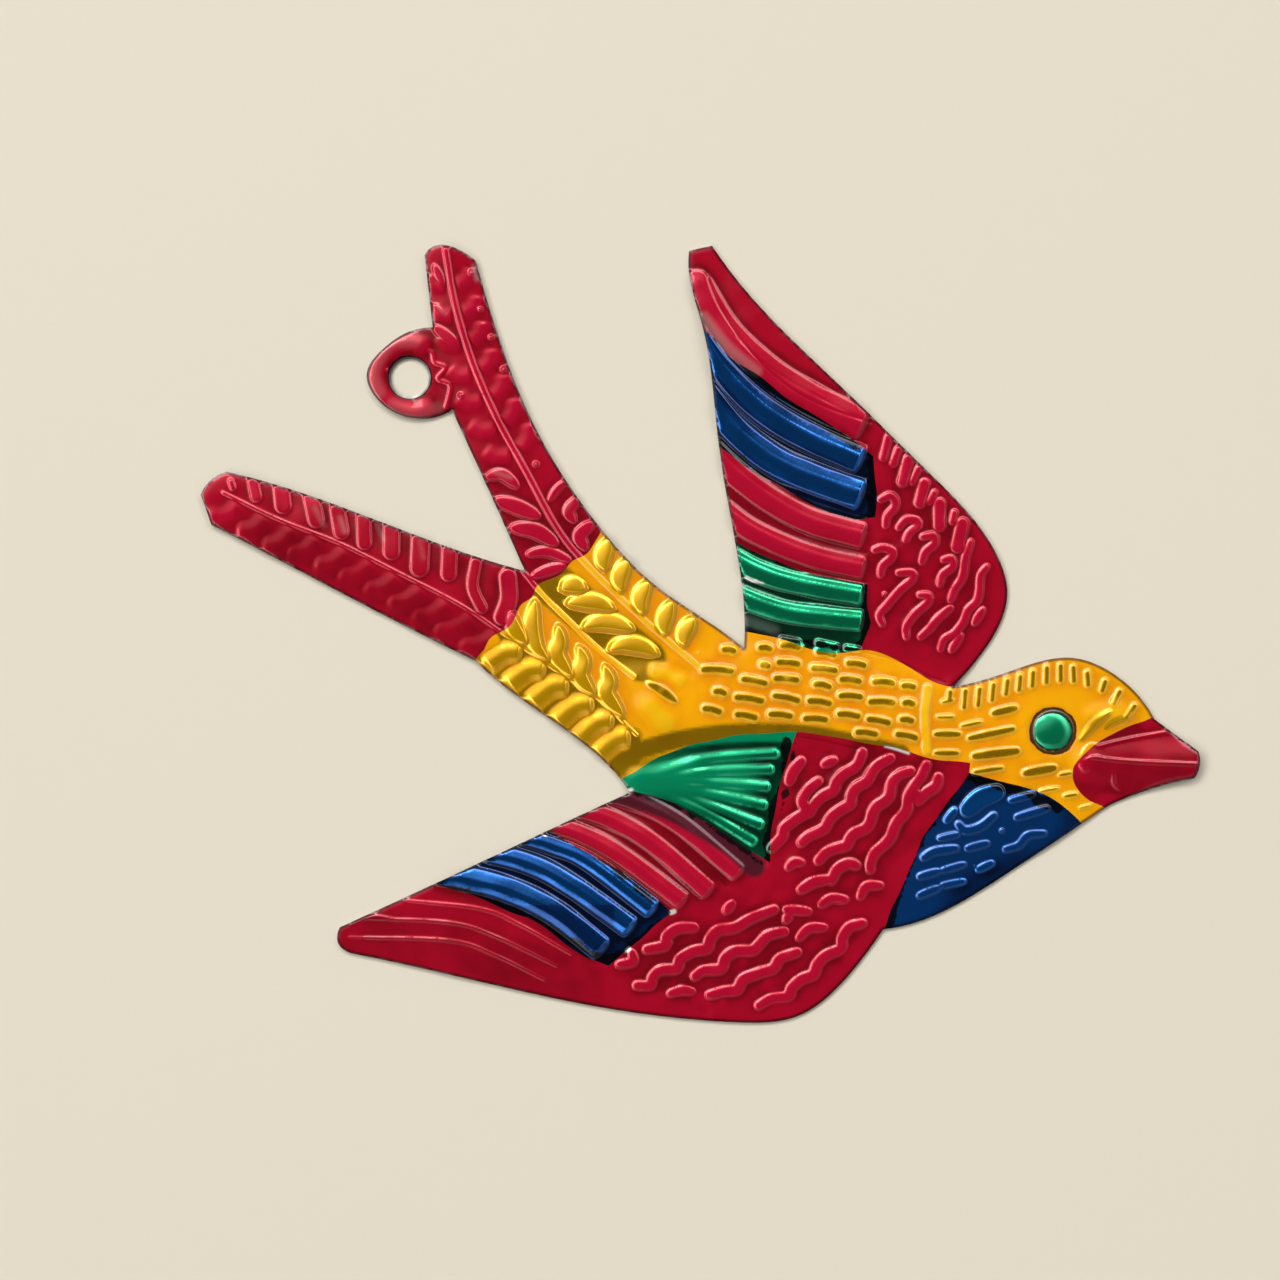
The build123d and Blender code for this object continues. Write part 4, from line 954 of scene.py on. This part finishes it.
# Brushed translucent lacquer over bright tin: deep even colour with the tin's mirror showing through,
# lighter on crests and darker in hollows where the coat runs thin or gathers, which also paints the relief's
# light and shade, a dark cut edge of gathered coat and painted shade, dark lap lines and painted shade
# rings, faint pale painted highlights, under a clear glossy skin that draws a thin bright line along every
# tool mark
def brushedLacquer(name, coat):
    material, tree, shader = newMaterial(name)
    place = addNode(tree, "ShaderNodeTexCoord").outputs["Object"]
    hollow, rim, overlap, bareAndSheen, polishSheenBandShare = [
        addNode(tree, "ShaderNodeAttribute", attribute_name=key).outputs["Fac"]
        for key in ("hollow", "rim", "overlap", "bareAndSheen", "polishSheenBand")]
    # cloudy thickness about 6 mm across, brush streaks about 1.5 mm apart, a wavering edge of 1.2 mm, uneven
    # gloss about 2.5 mm across and a slight orange peel of about 0.7 mm
    clouds, streaks, waver, gloss, peel = [
        addNode(tree, "ShaderNodeTexNoise", {"Vector": place, "Scale": 1 / (size * mm), "Detail": 2.0})
        .outputs["Fac"] for size in (6, 1.5, 1.2, 2.5, 0.7)]
    mottle = addNode(tree, "ShaderNodeMath", {0: streaks, 1: 0.5, 2: clouds}, operation="MULTIPLY_ADD")
    mottle = addNode(tree, "ShaderNodeMath", {0: mottle.outputs[0], 1: 0.75}, operation="SUBTRACT")
    gathered = addNode(tree, "ShaderNodeMapRange",
                       {"Value": hollow, "From Min": -coat["gather"], "From Max": coat["gather"]},
                       interpolation_type="SMOOTHSTEP")
    depth = addNode(tree, "ShaderNodeMath",
                    {0: mottle.outputs[0], 1: coat["clouding"], 2: gathered.outputs[0]},
                    operation="MULTIPLY_ADD").outputs[0]
    wavered = addNode(tree, "ShaderNodeMath", {0: waver, 1: 1.5, 2: overlap},
                      operation="MULTIPLY_ADD").outputs[0]
    # the dark line along the cut edge is partly coat gathered there and partly painted shade
    # what each reads, between which two values, and what it gives there
    fuller, pooledAndShaded, edgeGatherAndShade, doubledAndShaded, metal, dull = [
        addNode(tree, "ShaderNodeMapRange",
                {"Value": value, "From Min": first, "From Max": last, "To Min": low, "To Max": high},
                interpolation_type=kind).outputs[0]
        for value, first, last, low, high, kind in (
            (depth, 0.0, 0.5, 0.0, 1.0, "SMOOTHSTEP"), (depth, 0.5, 1.15, 0.0, 1.0, "SMOOTHSTEP"),
            (rim, 0.12, 0.4, 0.85, 0.0, "SMOOTHSTEP"), (wavered, 0.67, 0.83, 0.94, 0.0, "SMOOTHSTEP"),
            (polishSheenBandShare, 0.0, 1.0, *coat["mirror"], "LINEAR"),
            (polishSheenBandShare, 0.0, 1.0, *coat["roughness"], "LINEAR"))]
    colour = linearColour(coat["thinAndLit"])
    for share, hexText in ((fuller, coat["full"]), (pooledAndShaded, coat["pooledAndShaded"]), (polishSheenBandShare, coat["polishSheenBand"]),
                           (edgeGatherAndShade, coat["edge"]), (doubledAndShaded, coat["overlap"]), (bareAndSheen, tinAndSheenColour)):
        colour = addNode(tree, "ShaderNodeMix", {0: share, 6: colour, 7: linearColour(hexText)},
                         data_type="RGBA").outputs[2]
    rough = addNode(tree, "ShaderNodeMath", {0: gloss, 1: 0.14, 2: dull}, operation="MULTIPLY_ADD")
    skin = addNode(tree, "ShaderNodeBump", {"Strength": 0.5, "Distance": 0.000012, "Height": peel})
    for socket, value in (("Base Color", colour), ("Metallic", metal), ("Roughness", rough.outputs[0]),
                          ("Normal", skin.outputs[0]), ("Coat Normal", skin.outputs[0])):
        tree.links.new(value, shader.inputs[socket])
    shader.inputs["Specular IOR Level"].default_value = 0.1  # the clear skin has the gloss
    shader.inputs["Coat Weight"].default_value = 1.0
    shader.inputs["Coat Roughness"].default_value = 0.05
    shader.inputs["Coat IOR"].default_value = 1.5
    return material


# Hot-dipped tinplate: bright silvery steel with a faint rolled grain, the bare back and cut edge
def brightTinplate(name, finish):
    material, tree, shader = newMaterial(name)
    place = addNode(tree, "ShaderNodeTexCoord").outputs["Object"]
    # rolling lines 12 mm long, drawn 0.25 mm apart as finer ones wouldn't show, and stains about 9 mm across
    lines = addNode(tree, "ShaderNodeMapping",
                    {"Vector": place, "Scale": (1 / (12 * mm), 1 / (0.25 * mm), 1 / mm)})
    grain = addNode(tree, "ShaderNodeTexNoise", {"Vector": lines.outputs[0], "Scale": 1.0, "Detail": 2.0})
    stains = addNode(tree, "ShaderNodeTexNoise", {"Vector": place, "Scale": 1 / (9 * mm), "Detail": 5.0})
    shade, rough = [
        addNode(tree, "ShaderNodeMapRange",
                {"Value": stains.outputs["Fac"], "From Min": first, "From Max": last,
                 "To Min": low, "To Max": high}).outputs["Result"]
        for first, last, low, high in ((0.35, 0.75, 0.0, 1.0), (0.3, 0.8, 0.22, 0.42))]
    colour = addNode(tree, "ShaderNodeMix", {0: shade, 6: linearColour(finish["bright"]),
                                             7: linearColour(finish["dull"])}, data_type="RGBA").outputs[2]
    bump = addNode(tree, "ShaderNodeBump",
                   {"Strength": 0.4, "Distance": 0.00001, "Height": grain.outputs["Fac"]})
    tree.links.new(colour, shader.inputs["Base Color"])
    tree.links.new(rough, shader.inputs["Roughness"])
    tree.links.new(bump.outputs[0], shader.inputs["Normal"])
    shader.inputs["Metallic"].default_value = 1.0
    return material


crimsonLacquer = brushedLacquer("crimsonLacquer", {
    "thinAndLit": "#CC0A34", "full": "#BE0428", "pooledAndShaded": "#820012", "polishSheenBand": "#5C1A28", "edge": "#30020C",
    "overlap": "#12020A", "roughness": (0.24, 0.24), "clouding": 0.5, "gather": 0.08, "mirror": (0.32, 0.32),
})
# the gold's lap colour draws only the painted shade ring round the eye
goldLacquer = brushedLacquer("goldLacquer", {
    "thinAndLit": "#FFC210", "full": "#FFAC00", "pooledAndShaded": "#EE8E00", "polishSheenBand": "#FFBE00", "edge": "#4A2C00",
    "overlap": "#2A1A04", "roughness": (0.24, 0.14), "clouding": 0.5, "gather": 0.1, "mirror": (0.0, 0.85),
})
blueLacquer = brushedLacquer("blueLacquer", {
    "thinAndLit": "#0470D0", "full": "#024CA0", "pooledAndShaded": "#010E34", "polishSheenBand": "#024488", "edge": "#060C1A",
    "overlap": "#040408", "roughness": (0.08, 0.13), "clouding": 0.4, "gather": 0.05, "mirror": (0.94, 0.55),
})
greenLacquer = brushedLacquer("greenLacquer", {
    "thinAndLit": "#00CC8C", "full": "#00A46E", "pooledAndShaded": "#003824", "polishSheenBand": "#00B076", "edge": "#04160E",
    "overlap": "#050806", "roughness": (0.09, 0.13), "clouding": 0.35, "gather": 0.06, "mirror": (0.92, 0.5),
})
tinplate = brightTinplate("brightTinplate", {"bright": "#D9D6CF", "dull": "#A7A29A"})
print("materials made")

# Dark lines where one coat laps over the next, each with its width
farBlueOver = [([(4.6, 26.8), (8.0, 24.2), (12.0, 21.6), (15.8, 18.9)], 1.3),
               ([(17.2, 18.4), (17.2, 14.6), (17.0, 11.6)], 1.1),
               ([(1.4, 19.6), (6.6, 15.4), (12.6, 12.2), (16.0, 11.5)], 0.6)]
farGreenOver = [([(16.6, 5.2), (16.8, 2.0), (16.2, -1.6)], 1.2),
                ([(2.8, 9.9), (8.0, 7.4), (16.4, 5.4)], 0.4),
                ([(4.6, 0.4), (8.6, -0.4), (15.6, -1.6)], 0.5)]
nearGreenOver = [([(8.6, -10.6), (8.4, -14.0), (7.2, -18.0), (6.6, -22.4)], 0.8)]
nearBlueOver = [([(-27.0, -24.8), (-22.0, -26.2), (-16.0, -28.8), (-9.4, -32.8)], 0.7),
                ([(-9.4, -33.0), (-6.4, -30.6), (-3.2, -28.0)], 0.5),
                ([(-16.2, -19.0), (-10.0, -22.4), (-4.0, -27.0)], 0.3)]
breastOver = [([(26.4, -13.8), (24.2, -17.0), (21.6, -21.4), (19.9, -25.8), (18.6, -29.4)], 0.9),
              ([(26.2, -14.2), (30.4, -15.2), (33.6, -16.4), (35.6, -17.4)], 1.0)]
nearRedOver = [([(-6.2, -15.9), (-2.0, -17.3), (2.8, -20.4), (6.2, -23.0)], 0.5),
               ([(9.6, -10.8), (9.0, -13.4), (8.2, -17.6)], 0.2)]


# A round line, for the painted shade ring about the eye and the hole
def roundLine(middle, radius):
    angles = np.linspace(0, 2 * np.pi, 17)  # every 22.5 degrees
    return [(middle[0] + radius * math.cos(a), middle[1] + radius * math.sin(a)) for a in angles]


# Painted shade: dark rings round the eye, on the eye's edge and round the hanging hole, drawn as lap lines
eyeShadeOnBody = [(roundLine(eye["middle"], 2.2), 0.42)]
eyeRimShade = [(roundLine(eye["middle"], eye["radius"]), 0.3)]
holeShade = [(roundLine(tailUpper["hole"], 2.1), 0.3)]
steady = 3.0  # less waver in those round lines of painted shade

lacquerPiece("lowerTailLacquer", tailLower["node"], "red_lacquer", crimsonLacquer, [])
lacquerPiece("upperTailLacquer", tailUpper["node"], "red_lacquer", crimsonLacquer, holeShade, steady)
lacquerPiece("bodyLacquer", body["node"], "gold_lacquer", goldLacquer, eyeShadeOnBody, steady)
lacquerPiece("farWingRedLacquer", wingFar["redNode"], "red_lacquer", crimsonLacquer, [])
lacquerPiece("farWingBlueLacquer", wingFar["blueNode"], "blue_lacquer", blueLacquer, farBlueOver)
lacquerPiece("farWingGreenLacquer", wingFar["greenNode"], "green_lacquer", greenLacquer, farGreenOver)
lacquerPiece("nearWingRedLacquer", wingNear["redNode"], "red_lacquer", crimsonLacquer, nearRedOver)
lacquerPiece("nearWingBlueLacquer", wingNear["blueNode"], "blue_lacquer", blueLacquer, nearBlueOver)
lacquerPiece("nearWingGreenLacquer", wingNear["greenNode"], "green_lacquer", greenLacquer, nearGreenOver)
lacquerPiece("breastLacquer", breast["node"], "blue_lacquer", blueLacquer, breastOver)
lacquerPiece("beakLacquer", beak["node"], "red_lacquer", crimsonLacquer, [])
lacquerPiece("eyeLacquer", eye["node"], "green_lacquer", greenLacquer, eyeRimShade, steady)
print("lacquer coats laid")


# The tin under the coats, its back the same relief in hollow
def tinHeights(plan):
    rim = rimDistance(plan)
    worked = sampled(relief, plan)
    rolled = sheet["rimDrop"] * (1 - easeStep(rim / sheet["rimWidth"]))
    hidden = sheet["tinGap"] * easeStep(rim / (2 * sheet["rimWidth"]))
    return sheet["thickness"] + worked - rolled - hidden, worked


tinLoops = [spacedLoop(loop, sheet["tinBorderStep"]) for loop in cutEdges]
tinPoints = pointsWithin(tinLoops, triangleGrid(sheet["tinStep"])[0])
tinPoints = tinPoints[rimDistance(tinPoints) > sheet["tinBorderGap"]]
tinSheet = plate("tinSheet", tinLoops, tinPoints, tinHeights, lambda plan: {})
tinSheet.data.materials.append(tinplate)
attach(tinSheet, "root")
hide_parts("tin_sheet")
print("tinSheet", len(tinSheet.data.vertices), "points", len(tinSheet.data.polygons), "faces")

# Heights are the upward part of a direction, facing is its part towards the brighter side
studio = {
    "floor": "#E6DDCA", "floorSize": 3.0, "floorDrop": 0.00005, "floorRoughness": 0.9,
    "zenith": 0.05, "horizon": 0.36, "plainHeights": (0.3, 0.75),
    "ring": (0.3, 5.8), "ringFacing": (-0.8, 0.8),
    "ringStops": [(0.0, 0.0), (0.54, 0.0), (0.61, 1.0), (0.69, 1.0), (0.78, 0.0)],  # height and share
    "glow": 0.8, "glowFacing": (0.06, 0.5), "glowHeights": (0.35, 0.6),
    "keyPlace": (-0.2, 0.34, 0.42), "keySize": 0.22, "keyPower": 0.5,
    "lens": 85, "sensor": 36, "nearest": 0.01, "viewMiddle": (-0.006, -0.0006), "viewWidth": 0.128,
}
bpy.ops.mesh.primitive_plane_add(size=studio["floorSize"], location=(0, 0, -studio["floorDrop"]))
floor = bpy.context.object
floor.name = "floor"
floorPaint, _, floorShader = newMaterial("paleFloorPaint")
floorShader.inputs["Base Color"].default_value = linearColour(studio["floor"])
floorShader.inputs["Roughness"].default_value = studio["floorRoughness"]
floor.data.materials.append(floorPaint)

# A dim ceiling, a bright soft ring round it, a broad glow on one side, and paler near the floor
world = bpy.data.worlds.new("softStudio")
bpy.context.scene.world = world
world.use_nodes = True
sky = world.node_tree
heading = addNode(sky, "ShaderNodeTexCoord").outputs["Generated"]
height = addNode(sky, "ShaderNodeSeparateXYZ", {"Vector": heading}).outputs["Z"]
ringShare = addNode(sky, "ShaderNodeValToRGB", {"Fac": height})
while len(ringShare.color_ramp.elements) < len(studio["ringStops"]):
    ringShare.color_ramp.elements.new(0.5)
for element, (place, share) in zip(ringShare.color_ramp.elements, studio["ringStops"]):
    element.position = place
    element.color = (share, share, share, 1)
facing = addNode(sky, "ShaderNodeVectorMath", {0: heading, 1: (*brightSide, 0.0)},
                 operation="DOT_PRODUCT").outputs["Value"]
plain, bright, glow, raised = [
    addNode(sky, "ShaderNodeMapRange",
            {"Value": value, "From Min": first, "From Max": last, "To Min": low, "To Max": high},
            interpolation_type=kind).outputs["Result"]
    for value, (first, last), (low, high), kind in (
        (height, studio["plainHeights"], (studio["horizon"], studio["zenith"]), "LINEAR"),
        (facing, studio["ringFacing"], studio["ring"], "SMOOTHSTEP"),
        (facing, studio["glowFacing"], (0.0, studio["glow"]), "SMOOTHSTEP"),
        (height, studio["glowHeights"], (0.0, 1.0), "SMOOTHSTEP"))]
plain = addNode(sky, "ShaderNodeMath", {0: glow, 1: raised, 2: plain}, operation="MULTIPLY_ADD").outputs[0]
level = addNode(sky, "ShaderNodeMix", {0: ringShare.outputs["Color"], 2: plain, 3: bright},
                data_type="FLOAT").outputs[0]
sky.links.new(level, sky.nodes["Background"].inputs["Strength"])
sky.nodes["Background"].inputs["Color"].default_value = (1, 1, 1, 1)

key = bpy.data.lights.new("keyLight", "AREA")
key.energy = studio["keyPower"]
key.size = studio["keySize"]
keyObject = bpy.data.objects.new("keyLight", key)
keyObject.location = studio["keyPlace"]
keyObject.rotation_euler = (-Vector(studio["keyPlace"])).to_track_quat("-Z", "Y").to_euler()
bpy.context.scene.collection.objects.link(keyObject)

# Straight above the middle of the frame
lens = bpy.data.cameras.new("camera")
lens.lens = studio["lens"]
lens.sensor_width = studio["sensor"]
lens.clip_start = studio["nearest"]
camera = bpy.data.objects.new("camera", lens)
camera.location = (*studio["viewMiddle"], studio["viewWidth"] * studio["lens"] / studio["sensor"])
bpy.context.scene.collection.objects.link(camera)
bpy.context.scene.camera = camera
bpy.context.scene.view_settings.view_transform = "Standard"
print("studio set")
